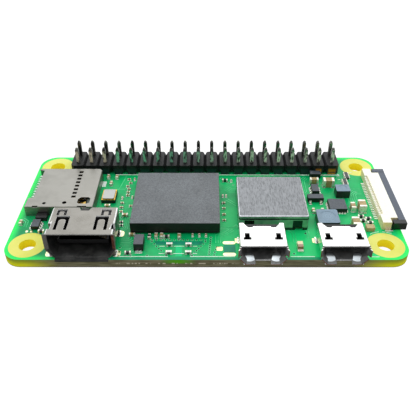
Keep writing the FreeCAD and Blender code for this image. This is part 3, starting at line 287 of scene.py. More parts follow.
def make_board_paint():
    """Green solder mask over glass fibre laminate: bright at the rim where light comes through the edge,
    yellow laminate round the mounting holes, and brown-grey sawn edges with copper flecks."""
    paint = Paint("board_mask", 0.34, sheen=MASK_SHEEN)
    out_x = paint.size_of(paint.x)
    cloud = paint.noise(0.10, 4.0, roughness=0.6)
    hole = paint.length(paint.distance((HOLE_X, HOLE_Y, 0.0)))
    ring_soft = 0.04
    ring_inner, ring_outer = RING_RADIUS - ring_soft, RING_RADIUS + ring_soft
    mask, lit = paint_mask(paint, cloud, out_x)
    ring = paint.mix(paint.rise(cloud, 0.3, 0.7), srgb(222, 222, 96), srgb(236, 233, 124))
    face = paint.mix(paint.rise(hole, ring_outer, ring_inner), mask, ring)

    height = paint.math("DIVIDE", paint.z, TOP)
    corner_glow = paint.rise(out_x, 22.5, 30.0)
    side = paint_sawn_edge(paint, height, corner_glow)
    wall = paint.mix(paint.rise(height, 0.0, 1.0), srgb(232, 208, 36), srgb(242, 230, 66))
    at_hole = paint.rise(hole, 1.7, 1.5)
    side = paint.mix(at_hole, side, wall)

    low_side = paint.times(corner_glow, paint.rise(height, 1.0, 0.25, 0.45, 1.0))
    side_glow = paint.mix(low_side, grey(0.0), (0.19, 0.19, 0.0, 1.0))
    side_glow = paint.mix(at_hole, side_glow, (0.2, 0.17, 0.0, 1.0))
    lit_mask = paint.times(lit, paint.rise(hole, ring_inner, ring_outer))
    face_glow = paint.mix(lit_mask, grey(0.0), (0.0, 0.07, 0.01, 1.0))
    upright = paint.rise(paint.size_of(paint.face_z), 0.5, 0.3)
    paint.glow(paint.mix(upright, face_glow, side_glow))
    paint.colour(paint.mix(upright, face, side))
    paint.rough(paint.mix(upright, grey(0.30), grey(0.6)))
    paint.bump(paint.noise(2.2, 5.0), 0.012, 0.5)
    return paint.material


def paint_mask(paint, cloud, out_x):
    """The mask's uneven green, with painted light between the ports, and how far light coming through the rim
    brightens it.
    """
    fine = paint.noise(0.9, 4.0)
    westward = paint.rise(paint.x, -24.0, -12.0)
    deep = paint.mix(westward, srgb(4, 138, 82), srgb(0, 164, 93))
    fresh = paint.mix(westward, srgb(18, 168, 96), srgb(12, 197, 108))
    mask = paint.mix(paint.rise(cloud, 0.36, 0.62), deep, fresh)
    mask = paint.mix(paint.rise(fine, 0.35, 0.7, 0.0, 0.35), mask, srgb(4, 186, 106))
    # Painted light: the mask between the ports is brightened where their shade falls.
    lit_between_ports = paint.times(paint.rise(paint.x, 4.0, 10.0), paint.rise(paint.y, -5.0, -9.0))
    mask = paint.mix(lit_between_ports, mask, srgb(26, 212, 120))
    corner = paint.add("VectorMath", "MAXIMUM")
    paint.fill(corner.inputs[0], paint.distance((HALF_LONG - CORNER, HALF_WIDE - CORNER, 0.0)))
    paint.fill(corner.inputs[1], (0.0, 0.0, 0.0))
    from_corner = paint.length(corner.outputs[0])
    near_ends = paint.rise(out_x, 20.0, 29.0)
    lit = paint.times(paint.rise(from_corner, CORNER - 1.5, CORNER - 0.1), near_ends)
    mask = paint.mix(lit, mask, srgb(40, 236, 100))
    margin = paint.times(paint.rise(paint.y, -14.3, -14.5), paint.rise(out_x, 24.0, 21.0))
    return paint.mix(margin, mask, srgb(10, 150, 100)), lit


def paint_sawn_edge(paint, height, corner_glow):
    """The laminate's edge: brown layers with copper flecks halfway up, yellow-green towards the ends,
    and a green patch at the front where light comes through. height is 0 to 1 up the board."""
    layers = paint.noise(1.0, 4.0, (0.5, 0.5, 7.0))
    brown = paint.mix(paint.rise(layers, 0.3, 0.7), srgb(112, 108, 78), srgb(164, 158, 124))
    olive = paint.mix(paint.rise(height, 0.0, 1.0), srgb(226, 224, 14), srgb(120, 146, 48))
    side = paint.mix(corner_glow, brown, olive)
    front_glow = paint.times(paint.inside(paint.x, -6.2, -2.8, 1.6), 0.95)
    side = paint.mix(paint.times(front_glow, paint.rise(height, 0.4, 0.6)), side, srgb(96, 200, 20))
    fleck = paint.noise(1.9, 1.0, (1.5, 1.0, 0.2))
    fleck = paint.times(paint.rise(fleck, 0.50, 0.56), paint.inside(height, 0.44, 0.58, 0.05))
    fleck = paint.times(fleck, paint.inside(paint.x, -14.0, 4.0, 2.0))
    side = paint.mix(fleck, side, srgb(236, 228, 200))
    return paint.mix(paint.rise(height, 0.13, 0.05), side, srgb(60, 44, 30))


def make_track_paint(name, first, second):
    """Solder mask where copper lies under it."""
    paint = Paint(name, 0.34, sheen=MASK_SHEEN)
    paint.colour(paint.mix(paint.rise(paint.noise(0.5, 4.0), 0.35, 0.65), first, second))
    paint.bump(paint.noise(5.0, 3.0), 0.006, 0.5)
    return paint.material


def make_moulded_paint(name, first, second, roughness, grain=14.0, depth=0.006):
    """Moulded plastic or compound: two close tones in a fine grain, with a slightly uneven sheen."""
    paint = Paint(name, roughness)
    speckle = paint.noise(grain, 2.0, roughness=0.7)
    cloud = paint.noise(0.35, 3.0)
    tone = paint.math("ADD", paint.times(speckle, 0.75), paint.times(cloud, 0.25))
    paint.colour(paint.mix(paint.rise(tone, 0.36, 0.64), first, second))
    paint.rough(paint.rise(cloud, 0.3, 0.7, roughness - 0.06, roughness + 0.06))
    paint.bump(speckle, depth)
    return paint.material


def make_chip_paint_with_painted_light(name, top, speck, side):
    """A chip whose moulded top is grey with a fine grain, partly its own tone and partly painted sheen, and
    whose sawn sides are near black, partly their smooth sawn finish and partly painted shade.
    """
    paint = Paint(name, 0.42)
    grain = paint.noise(5.0, 3.0, roughness=0.8)
    cloud = paint.noise(0.2, 3.0)
    face = paint.mix(paint.rise(grain, 0.35, 0.65), top, speck)
    face = paint.mix(paint.rise(cloud, 0.3, 0.7, 0.0, 0.25), face, side)
    # Painted light: faces that point up get the top's tones, the rest the near black of painted shade.
    level = paint.rise(paint.face_z, 0.55, 0.9)
    paint.colour(paint.mix(level, side, face))
    paint.rough(paint.rise(level, 0.0, 1.0, 0.5, 0.42))
    paint.bump(grain, 0.008)
    return paint.material


def make_metal_paint(name, first, second, roughness, depth=0.003, scale=0.8, metallic=1.0, brushed=None):
    """Plated sheet metal with stains and handling marks, or a brushed grain along one axis."""
    paint = Paint(name, roughness, metallic)
    stain = paint.noise(scale, 5.0, roughness=0.6)
    if brushed:
        grain = paint.noise(1.0, 3.0, brushed, 0.7)
        tone = paint.math("ADD", paint.times(grain, 0.8), paint.times(stain, 0.2))
        height = grain
    else:
        tone = stain
        height = paint.noise(6.0, 4.0)
    paint.colour(paint.mix(paint.rise(tone, 0.36, 0.64), first, second))
    paint.rough(paint.rise(tone, 0.3, 0.7, max(roughness - 0.08, 0.05), roughness + 0.08))
    paint.bump(height, depth)
    return paint.material


def make_can_wall_paint():
    """The can's bent-down walls: a painted reflection of the board's green, with painted shade just under the
    bend, at the foot and in a dark slot near each end."""
    paint = Paint("can_wall", 0.26, 0.1)
    low, high = node_box("wireless_shield_can")
    middle = (low + high) / 2
    patch = paint.noise(0.8, 4.0)
    # Painted reflection: the board's green is painted into the walls' colour.
    tone = paint.mix(paint.rise(patch, 0.3, 0.7), srgb(96, 172, 128), srgb(134, 196, 152))
    tall = high.z - TOP
    # Painted shade at the foot and in a band just under the bend.
    foot = paint.rise(paint.z, TOP + 0.24 * tall, TOP + 0.12 * tall)
    shade_under_bend = paint.inside(paint.z, TOP + 0.74 * tall, TOP + 0.83 * tall, 0.04)
    tone = paint.mix(paint.math("MAXIMUM", foot, shade_under_bend), tone, srgb(20, 30, 26))
    apart = paint.size_of(paint.math("SUBTRACT", paint.x, middle.x))
    reach = (high.x - low.x) / 2
    # Painted shade: a dark slot near each end stands in for the dark inside of a notch.
    slot = paint.times(paint.inside(apart, reach - 2.6, reach - 1.0),
                      paint.rise(paint.z, TOP + 0.72 * tall, TOP + 0.66 * tall))
    slot = paint.times(slot, paint.rise(paint.face_y, -0.6, -0.9))
    paint.colour(paint.mix(slot, tone, srgb(10, 12, 12)))
    paint.bump(paint.noise(1.2, 2.0), 0.01)
    return paint.material


def make_spring_paint():
    """The sprung tabs in a data port's floor: painted shade far inside, and a painted highlight at the lip.
    """
    paint = Paint("mouth_springs", 0.3, 0.7)
    along = paint.rise(paint.y, -14.2, -15.2)
    # Painted shade far inside the mouth, turning to a painted highlight at the lip.
    paint.colour(paint.mix(along, srgb(92, 92, 92), srgb(240, 248, 252)))
    return paint.material


def make_inductor_paint():
    """A moulded power inductor: blue-grey lacquered top with a faint ring pattern, and sides painted dark as
    painted shade.
    """
    paint = Paint("inductor_lacquer", 0.3)
    low, high = node_box("inductor_large")
    centre = (low + high) / 2
    moved = paint.add("VectorMath", "SUBTRACT")
    paint.fill(moved.inputs[0], paint.place)
    paint.fill(moved.inputs[1], (centre.x, centre.y, high.z))
    from_middle = paint.length(moved.outputs[0])
    ring = paint.math("SINE", paint.times(from_middle, 16.0))
    near = paint.rise(from_middle, 1.1, 0.7)
    grain = paint.noise(7.0, 2.0)
    top = paint.mix(paint.rise(grain, 0.3, 0.7), srgb(104, 128, 146), srgb(122, 148, 166))
    top = paint.mix(paint.times(paint.rise(ring, -1.0, 1.0, 0.0, 0.3), near), top, srgb(150, 176, 194))
    # Painted shade: the sides are a dark copy, chosen by which way a face points.
    side = paint.mix(paint.rise(grain, 0.3, 0.7), srgb(22, 22, 24), srgb(44, 42, 40))
    paint.colour(paint.mix(paint.rise(paint.face_z, 0.3, 0.8), side, top))
    paint.bump(grain, 0.008)
    return paint.material


def make_pin_paint():
    """Tin plated square wire: dark where it mirrors the dim side of the room, with stained patches. The front
    row's faces, next to the board, are painted pale and less metallic, a painted reflection of the board's
    green and the light."""
    paint = Paint("pin_plating", 0.24)
    patch = paint.noise(0.9, 4.0, (1.0, 1.0, 0.6), 0.6)
    wire = paint.mix(paint.rise(patch, 0.42, 0.62), srgb(92, 92, 88), srgb(178, 178, 168))
    wire = paint.mix(paint.rise(paint.x, 6.0, 22.0, 0.0, 0.45), wire, srgb(206, 206, 200))
    # Painted reflection: pale green and cream on the front row's faces.
    pale = paint.mix(paint.rise(paint.x, -9.0, 12.0), srgb(150, 232, 190), srgb(242, 250, 228))
    pale = paint.mix(paint.rise(paint.x, -17.6, -18.4), pale, srgb(246, 234, 204))
    streak = paint.rise(paint.noise(1.4, 3.0, (2.0, 2.0, 0.7)), 0.36, 0.56)
    pale = paint.mix(streak, srgb(58, 62, 56), pale)
    front_row = paint.rise(paint.y, HEADER_ROW, HEADER_ROW - 0.5)
    front = paint.times(paint.rise(paint.face_y, -0.5, -0.9), front_row)
    front = paint.times(front, paint.inside(paint.z, TOP + 2.1, TOP + 4.5, 0.25))
    paint.colour(paint.mix(front, wire, pale))
    paint.fill(paint.shader.inputs["Metallic"], paint.rise(front, 0.0, 1.0, 1.0, 0.15))
    paint.rough(paint.rise(patch, 0.3, 0.7, 0.16, 0.34))
    paint.bump(paint.noise(5.0, 3.0, (1.0, 1.0, 0.15)), 0.006)
    return paint.material


def make_header_paint():
    """The header's dull black moulding; its feet have a painted reflection of the board's green, and two
    painted orange reflections at the right."""
    paint = Paint("header_plastic", 0.5, sheen=0.3)
    grain = paint.noise(7.0, 3.0, roughness=0.7)
    body = paint.mix(paint.rise(grain, 0.35, 0.7), srgb(10, 10, 11), srgb(34, 35, 36))
    front = paint.rise(paint.face_y, -0.6, -0.95)
    # Painted reflection of the board's green on the front of the feet.
    foot = paint.times(front, paint.rise(paint.z, TOP + 1.5, TOP + 0.9))
    body = paint.mix(foot, body, srgb(20, 52, 48))
    # Painted reflection: two orange patches on the feet at the right.
    orange_reflection = paint.inside(paint.x, 20.7, 21.8, 0.1)
    orange_reflection = paint.math("MAXIMUM", orange_reflection, paint.inside(paint.x, 23.1, 24.5, 0.1))
    ends = paint.math("SUBTRACT", 1.0, paint.inside(paint.z, TOP + 0.25, TOP + 0.6, 0.08))
    orange_reflection = paint.times(paint.times(orange_reflection, foot), paint.rise(ends, 0.0, 1.0, 0.35, 1.0))
    paint.colour(paint.mix(orange_reflection, body, srgb(190, 124, 20)))
    paint.bump(grain, 0.01)
    return paint.material


def make_ink_paint():
    """White legend ink, a little uneven."""
    paint = Paint("legend_ink", 0.55)
    wear = paint.noise(3.0, 4.0)
    paint.colour(paint.mix(paint.rise(wear, 0.3, 0.75), srgb(250, 255, 250), srgb(214, 240, 222)))
    paint.bump(wear, 0.006)
    return paint.material


def make_lens_paint():
    """The clear moulded top of the status light, over a pale die."""
    paint = Paint("light_lens", 0.16)
    low, high = node_box("status_light_lens")
    along = paint.rise(paint.y, low.y, high.y)
    tone = paint.mix(paint.rise(along, 0.35, 0.5), srgb(132, 86, 32), srgb(232, 212, 160))
    paint.colour(paint.mix(paint.rise(paint.noise(6.0, 2.0), 0.3, 0.7, 0.0, 0.2), tone, srgb(250, 244, 222)))
    paint.shader.inputs["Coat Weight"].default_value = 0.6
    return paint.material


# Mask over the board's copper: material, then two tones
MASK_TONES = {
    "track": ("mask_over_track", (40, 190, 112), (96, 222, 150)),
    "dark_track": ("mask_over_gap", (0, 128, 96), (2, 144, 106)),
    "fresh_track": ("mask_between_columns", (0, 190, 116), (0, 206, 128)),
    "via_dip": ("via_dimple", (6, 30, 20), (12, 44, 30)),
    "via_rim": ("via_rim", (96, 222, 150), (140, 240, 180)),
}

# Mouldings: material, two tones, roughness, grain in waves per millimetre and its depth in millimetres
MOULDINGS = {
    "black": ("black_plastic", (12, 12, 13), (30, 30, 31), 0.36),
    "deep_black": ("insulator_plastic", (8, 8, 9), (22, 22, 23), 0.5),
    "card_floor": ("card_floor", (22, 30, 26), (48, 62, 52), 0.4),
    "ivory": ("ivory_plastic", (252, 249, 230), (255, 253, 242), 0.34, 3.0, 0.004),
    # Painted shade: a yellower copy of the ivory for the connector's sides.
    "ivory_side": ("ivory_side", (240, 222, 166), (250, 236, 192), 0.4, 3.0, 0.004),
    "white_glaze": ("white_glaze", (226, 232, 224), (248, 250, 244), 0.3, 4.0),
    # Painted shade: a grey copy of the white glaze for those parts' fronts.
    "grey_glaze": ("grey_glaze", (98, 100, 92), (132, 132, 120), 0.4, 4.0),
    "latch": ("latch_plastic", (62, 70, 84), (88, 96, 112), 0.4, 10.0),
    "beige": ("ferrite_ceramic", (164, 146, 96), (196, 178, 128), 0.4, 6.0),
    "capacitor": ("capacitor_ceramic", (146, 122, 74), (190, 164, 112), 0.32, 5.0),
    "resistor": ("resistor_glaze", (20, 20, 22), (40, 40, 42), 0.25, 8.0),
}

# Chips: material, then the tones of the top, its grain and the sawn sides; the top carries painted sheen and
# the sides painted shade
CHIPS = {
    "processor": ("processor_compound", (72, 77, 81), (112, 117, 121), (10, 10, 11)),
    "chip": ("chip_compound", (58, 64, 72), (80, 88, 96), (14, 14, 15)),
    "diode": ("diode_compound", (66, 68, 76), (88, 90, 98), (18, 18, 20)),
}

# Metals: material, two tones, roughness, depth of their marks in millimetres, stains per millimetre,
# how metallic they are and, for a brushed face, the grain along each axis
METALS = {
    "solder": ("bright_solder", (214, 214, 208), (252, 252, 248), 0.26, 0.01, 3.0),
    "tin": ("terminal_tin", (238, 230, 208), (255, 253, 244), 0.34, 0.008, 4.0, 0.5),
    "display_shell": ("nickel_shell", (124, 121, 115), (142, 139, 133), 0.3, 0.002, 0.3),
    "usb_shell": ("bright_shell", (226, 225, 222), (248, 247, 245), 0.26),
    "card_shell": ("card_shell", (140, 138, 132), (156, 154, 148), 0.4, 0.002, 0.3),
    "can": ("brushed_can", (100, 102, 104), (134, 136, 139), 0.32, 0.004, 0.8, 1.0, (4.2, 0.8, 4.2)),
    # Painted highlight: a brighter copy of the can's metal for the bend round its top.
    "can_edge": ("can_bend", (214, 216, 222), (240, 242, 246), 0.3),
    # Painted shade: a darker copy of the shell metal for the insides of the data ports.
    "inside": ("shell_painted_shade", (112, 112, 112), (140, 140, 138), 0.42, 0.003, 0.8, 0.45),
    # Painted shade: a darker copy for the inside of the display port.
    "display_inside": ("display_inside", (54, 54, 54), (80, 80, 78), 0.42, 0.003, 0.8, 0.45),
    # Painted highlight: a bright copy for the display port's roof rim and side bends.
    "bright_rim": ("bright_rim", (232, 232, 230), (250, 250, 250), 0.3, 0.003, 0.8, 0.3),
    "dim_gold": ("shaded_contacts", (52, 44, 28), (74, 62, 40), 0.4),
    "crystal_lid": ("crystal_lid", (156, 157, 154), (168, 169, 166), 0.34, 0.002, 0.6),
    "gold": ("gold_plating", (196, 150, 60), (240, 202, 112), 0.26, 0.004, 2.0),
    "land": ("land_finish", (238, 226, 170), (255, 250, 214), 0.4, 0.004, 1.5),
    "cut_edge": ("sheared_copper", (120, 74, 58), (176, 116, 96), 0.45, 0.008, 3.0),
}

PAINTS = {}


def make_paints():
    """Every material of the object, by a plain name."""
    for key, (name, *tones) in MASK_TONES.items():
        PAINTS[key] = make_track_paint(name, *(srgb(*tone) for tone in tones))
    for key, (name, first, second, *grain) in MOULDINGS.items():
        PAINTS[key] = make_moulded_paint(name, srgb(*first), srgb(*second), *grain)
    for key, (name, *tones) in CHIPS.items():
        PAINTS[key] = make_chip_paint_with_painted_light(name, *(srgb(*tone) for tone in tones))
    for key, (name, first, second, *marks) in METALS.items():
        PAINTS[key] = make_metal_paint(name, srgb(*first), srgb(*second), *marks)
    PAINTS["board"] = make_board_paint()
    PAINTS["ink"] = make_ink_paint()
    PAINTS["header"] = make_header_paint()
    PAINTS["pins"] = make_pin_paint()
    PAINTS["inductor"] = make_inductor_paint()
    PAINTS["can_wall"] = make_can_wall_paint()
    PAINTS["lens"] = make_lens_paint()
    PAINTS["springs"] = make_spring_paint()


# ---------------------------------------------------------------- meshes


# Degrees between two faces from which their shared edge is shaded sharp, and from which it is rounded
SHARP = 40.0
ROUNDED = 38.0

# The paints of a port's shell, in order: its metal, sheared copper, painted shade and a painted highlight
BODY, CUT, PAINTED_SHADE, PAINTED_HIGHLIGHT = range(4)


def add_piece(name, bm, paints, body, sharp=SHARP):
    """Puts a mesh made in metres into the scene, riding on a CAD body, with level normals on flats."""
    bmesh.ops.recalc_face_normals(bm, faces=bm.faces)
    mesh = bpy.data.meshes.new(name)
    bm.to_mesh(mesh)
    bm.free()
    for paint in paints:
        mesh.materials.append(PAINTS[paint])
    mesh.shade_smooth()
    mesh.set_sharp_from_angle(angle=math.radians(sharp))
    piece = bpy.data.objects.new(name, mesh)
    bpy.context.scene.collection.objects.link(piece)
    level = piece.modifiers.new("level_normals", "WEIGHTED_NORMAL")
    level.keep_sharp = True
    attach(piece, body)
    return piece


def clean_mesh(node):
    """A CAD node's mesh with its corners joined and its flat faces whole."""
    bm = bmesh.new()
    bm.from_mesh(NODES[node].data)
    bmesh.ops.remove_doubles(bm, verts=bm.verts, dist=0.0005 * MM)
    bmesh.ops.dissolve_limit(bm, angle_limit=math.radians(0.4), verts=bm.verts, edges=bm.edges)
    return bm


def bevel_edges(bm, wanted, width, segments):
    """Rounds the edges for which wanted(edge, angle in degrees) is true."""
    joined = [edge for edge in bm.edges if len(edge.link_faces) == 2]
    edges = [edge for edge in joined if wanted(edge, math.degrees(edge.calc_face_angle()))]
    if edges:
        bmesh.ops.bevel(bm, geom=edges, offset=width * MM, offset_type="OFFSET", segments=segments,
                        profile=0.5, affect="EDGES", clamp_overlap=True)


def finish(node, paints, width, segments, bends=None, pick=None, sharp=SHARP):
    """Stands a finished copy in for a CAD node: bends and edges rounded, and painted. bends says which
    edges are bends, and their width and segments. pick(normal, centre) gives the index in paints that a
    face gets."""
    bm = clean_mesh(node)
    if bends:
        bevel_edges(bm, *bends)
    if width:
        bevel_edges(bm, lambda edge, angle: angle > ROUNDED, width, segments)
    if pick:
        for face in bm.faces:
            face.material_index = pick(face.normal, face.calc_center_median() / MM)
    piece = add_piece(node + "_finish", bm, paints, BODY_OF[node], sharp)
    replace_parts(piece, node)
    return piece


def islands(node):
    """The box of each separate solid in a CAD node, in millimetres."""
    bm = bmesh.new()
    bm.from_mesh(NODES[node].data)
    bmesh.ops.remove_doubles(bm, verts=bm.verts, dist=0.0005 * MM)
    left = set(bm.verts)
    boxes = []
    while left:
        start = left.pop()
        found, queue = [start], [start]
        while queue:
            for edge in queue.pop().link_edges:
                for vertex in edge.verts:
                    if vertex in left:
                        left.remove(vertex)
                        found.append(vertex)
                        queue.append(vertex)
        spots = [vertex.co / MM for vertex in found]
        boxes.append((Vector([min(s[i] for s in spots) for i in range(3)]),
                      Vector([max(s[i] for s in spots) for i in range(3)])))
    bm.free()
    return sorted(boxes, key=lambda pair: (round(pair[0].x, 3), round(pair[0].y, 3), round(pair[0].z, 3)))


def rounded_ring(low, high, grow, height, corner):
    """Points of a rounded rectangle round a box, grown by grow, at a height; corner is its radius."""
    points = []
    reach = min(corner, (high.x - low.x) / 2 + grow, (high.y - low.y) / 2 + grow)
    for turn, (side_x, side_y) in enumerate(((1, 1), (-1, 1), (-1, -1), (1, -1))):
        centre_x = (high.x + grow - reach) if side_x > 0 else (low.x - grow + reach)
        centre_y = (high.y + grow - reach) if side_y > 0 else (low.y - grow + reach)
        for step in range(4):
            angle = math.radians(90 * turn + 30 * step)
            points.append(Vector((centre_x + reach * math.cos(angle),
                                  centre_y + reach * math.sin(angle), height)))
    return points


def skin(bm, rings):
    """Joins rings of equally many points, in millimetres, into one closed surface."""
    rows = [[bm.verts.new(point * MM) for point in ring] for ring in rings]
    for lower, upper in zip(rows, rows[1:]):
        for index in range(len(lower)):
            following = (index + 1) % len(lower)
            bm.faces.new((lower[index], lower[following], upper[following], upper[index]))
    bm.faces.new(reversed(rows[0]))
    bm.faces.new(rows[-1])


def add_fillet(bm, low, high, spread, climb):
    """A concave skirt of solder from the board up the sides of a terminal."""
    profile = ((1.0, 0.0), (0.96, 0.05), (0.5, 0.22), (0.2, 0.55), (0.03, 1.0))
    rings = [rounded_ring(low, high, spread * out, MASK + climb * up, 0.08 + spread * out)
             for out, up in profile]
    skin(bm, rings)


def make_solder_fillets():
    """Solder up the ends of the chip parts and leads, each to a share of its height."""
    shares = {"capacitor_terminals": 0.5, "resistor_terminals": 0.5, "resistor_array_terminals": 0.6,
              "power_switch_leads": 0.45, "protection_chip_leads": 0.45, "regulator_leads": 0.45,
              "diode_terminals": 0.6, "power_controller_lands": 0.5}
    for node, share in shares.items():
        bm = bmesh.new()
        for low, high in islands(node):
            size = min(high.x - low.x, high.y - low.y)
            climb = min((high.z - TOP) * share, 0.4)
            add_fillet(bm, low, high, min(0.08 + 0.12 * size, 0.16), climb)
        add_piece(node + "_solder", bm, ["solder"], "board", 60.0)


def add_land(bm, low, high, corner, levels):
    """A land round a box, from levels: how far each ring is grown, and its height."""
    skin(bm, [rounded_ring(low, high, grow, level, corner) for grow, level in levels])


def make_lands():
    """Tinned lands with rounded ends in place of the CAD's square ones, and a land beside each shell leg."""
    bm = bmesh.new()
    for low, high in islands("bare_pads"):
        long_one = high.x - low.x > 1.5
        corner = min(high.x - low.x, high.y - low.y) * (0.5 if long_one else 0.2)
        add_land(bm, low, high, corner, ((0.0, DRAWN_FOOT), (0.0, TOP + 0.02), (-0.04, TOP + 0.035)))
    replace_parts(add_piece("open_lands", bm, ["land"], "board", 30.0), "bare_pads")
    bm = bmesh.new()
    left_leg = node_box("display_port_shell")[0].x + 3
    for low, high in islands("port_solder_joints"):
        if high.x < 0:
            shift, shrink, corner = (0.35 if low.x > left_leg else -0.35), 0.2, 0.6
        else:
            shift, shrink, corner = -0.22, 0.4, 0.1
        low, high = low + Vector((shift, shrink, 0)), high + Vector((shift, -shrink, 0))
        add_land(bm, low, high, corner, ((0.16, DRAWN_FOOT), (0.16, TOP + 0.014), (0.13, TOP + 0.02)))
    add_piece("leg_lands", bm, ["land"], "board", 30.0)


def make_floor_springs():
    """The sprung tabs in the floor of each data port's mouth, curving down to its lip."""
    # Each cross-section's y, its height over the board and its half width
    sections = ((-14.1, 0.8, 0.5), (-14.45, 0.74, 0.62), (-14.8, 0.56, 0.72), (-15.15, 0.3, 0.8),
                (-15.5, 0.0, 0.86), (-15.8, -0.24, 0.88))
    apart, bulge = 2.15, 0.05
    sheet = Vector((0, -0.05, 0.08))
    shares = [step / 4 for step in range(-4, 5)]
    for name in ("data_port", "power_port"):
        low, high = node_box(name + "_shell")
        middle = (low.x + high.x) / 2
        bm = bmesh.new()
        for side in (-1, 1):
            rings = []
            for y, rise, half in sections:
                centre, base = middle + side * apart, TOP + rise
                upper = [Vector((centre + share * half, y, base + bulge * (1 - share ** 2)))
                         for share in shares]
                rings.append(upper + [point - sheet for point in reversed(upper)])
            skin(bm, rings)
        add_piece(name + "_floor_springs", bm, ["springs"], "board", 60.0)


def make_card_teeth():
    """The bright sprung teeth under the edge of the card slot's recess."""
    low, high = node_box("card_socket_shell")
    edge = low.x + 0.95
    top = high.z - 0.25
    first, pitch, count, thickness = low.y + 3.2, 0.78, 9, 0.1
    # A tooth's outline from the edge outwards: x, y and height
    outline = ((0.3, 0.0, 0.0), (-0.45, 0.06, -0.05), (-0.62, 0.2, -0.2), (-0.45, 0.34, -0.05),
               (0.3, 0.42, 0.0))
    bm = bmesh.new()
    for index in range(count):
        tooth = [Vector((edge + x, first + pitch * index + y, top + z)) for x, y, z in outline]
        skin(bm, [[point - Vector((0, 0, thickness)) for point in tooth], tooth])
    add_piece("card_mouth_teeth", bm, ["usb_shell"], "board", 30.0)


def ellipse(centre, reach, level, sides=12, flat=1.0):
    """Points of an ellipse round centre at a height; flat is its depth over its width."""
    turns = [2 * math.pi * step / sides for step in range(sides)]
    return [Vector((centre[0] + reach * math.cos(turn), centre[1] + flat * reach * math.sin(turn), level))
            for turn in turns]


def make_latch_springs():
    """The sprung catches of a plug's latch, seen through the openings in each data port's roof."""
    apart, place_y = 2.45, -13.5
    for name in ("data_port", "power_port"):
        low, high = node_box(name + "_shell")
        middle = (low.x + high.x) / 2
        bm = bmesh.new()
        for side in (-1, 1):
            centre = (middle + side * apart, place_y)
            skin(bm, [ellipse(centre, reach, high.z - depth, flat=0.7)
                      for reach, depth in ((0.52, 1.15), (0.5, 0.95), (0.36, 0.8))])
        add_piece(name + "_latch_springs", bm, ["usb_shell"], "board", 60.0)


# ---------------------------------------------------------------- tracks, vias and legend


def offset_path(points, distance):
    """A run of straight stretches moved sideways, with its corners mitred."""
    moved = []
    for index, point in enumerate(points):
        before = points[max(index - 1, 0)]
        after = points[min(index + 1, len(points) - 1)]
        arriving = (point - before).normalized() if index else (after - point).normalized()
        leaving = (after - point).normalized() if index < len(points) - 1 else arriving
        middle = (arriving + leaving).normalized()
        across = Vector((-middle.y, middle.x))
        moved.append(point + across * (distance / max(middle.dot(arriving), 0.3)))
    return moved


def add_strip(bm, points, width, height):
    """A flat strip along a run of points, standing just over the mask, with its sides drawn in."""
    left = offset_path(points, width / 2)
    right = offset_path(points, -width / 2)
    rings = []
    for start, end in zip(left, right):
        top = MASK + height
        inset = (end - start) * 0.12
        rings.append([Vector((*start, DRAWN_FOOT)), Vector((*(start + inset), top)),
                      Vector((*(end - inset), top)), Vector((*end, DRAWN_FOOT))])
    skin(bm, rings)


def add_bus(bm, count, pitch, width, *points):
    """Parallel tracks along one run."""
    path = [Vector(point) for point in points]
    for index in range(count):
        add_strip(bm, offset_path(path, (index - (count - 1) / 2) * pitch), width, COPPER_RISE)


def add_disc(bm, centre, radius, height):
    skin(bm, [ellipse(centre, radius, DRAWN_FOOT), ellipse(centre, radius * 0.9, DRAWN_FOOT + height)])


def add_plate(bm, corners, height):
    """A flat patch with the given outline."""
    skin(bm, [[Vector((x, y, level)) for x, y in corners] for level in (DRAWN_FOOT, MASK + height)])


def spaced(start, end, count):
    """Places evenly along a line, ends included."""
    return [tuple(Vector(start).lerp(Vector(end), index / (count - 1))) for index in range(count)]


# Buses of parallel tracks: how many, their pitch and width, and the corners of their run
BUSES = (
    (5, 0.42, 0.14, (-14.0, -10.9), (-12.6, -10.9), (-11.9, -10.2), (-11.9, -8.2)),
    (3, 0.42, 0.14, (-14.2, -12.9), (-12.2, -12.9), (-11.8, -12.5)),
    (3, 0.4, 0.13, (5.4, -6.4), (3.0, -8.8), (1.9, -9.2), (1.9, -11.0)),
    (2, 0.4, 0.12, (2.3, -7.2), (4.6, -7.2), (5.2, -6.6)),
    (4, 0.9, 0.14, (-10.5, 6.9), (-10.5, 8.9)),
    (5, 0.8, 0.14, (-5.0, 6.9), (-5.0, 8.9)),
    (4, 0.4, 0.14, (2.3, 4.6), (3.4, 4.6), (4.4, 3.6), (5.3, 3.6)),
    (2, 0.45, 0.14, (2.3, 0.9), (3.6, 0.9), (5.3, -0.8)),
    (3, 0.32, 0.12, (-12.7, -2.6), (-13.6, -3.2), (-13.6, -7.2), (-14.1, -7.7)),
    (2, 0.4, 0.14, (-16.2, 4.2), (-15.2, 4.2), (-14.9, 3.9)),
    (1, 0.4, 0.2, (-18.9, 3.6), (-18.0, 3.9), (-16.2, 3.9), (-15.3, 8.2)),
    (3, 0.4, 0.14, (17.0, 2.6), (17.9, 3.5), (17.9, 6.9), (18.7, 7.8)),
    (2, 0.5, 0.14, (27.9, -4.6), (26.4, -4.6), (25.0, -3.6)),
    (5, 0.4, 0.15, (28.2, 3.4), (27.0, 3.4), (26.2, 2.6), (26.2, -0.4)),
    (2, 0.4, 0.16, (-31.6, -4.6), (-30.6, -5.4), (-30.6, -7.0)),
    (2, 0.45, 0.14, (13.4, -7.2), (14.4, -8.2), (14.4, -10.9)),
    (2, 0.4, 0.14, (16.2, -7.0), (16.8, -7.6), (16.8, -9.8)),
)

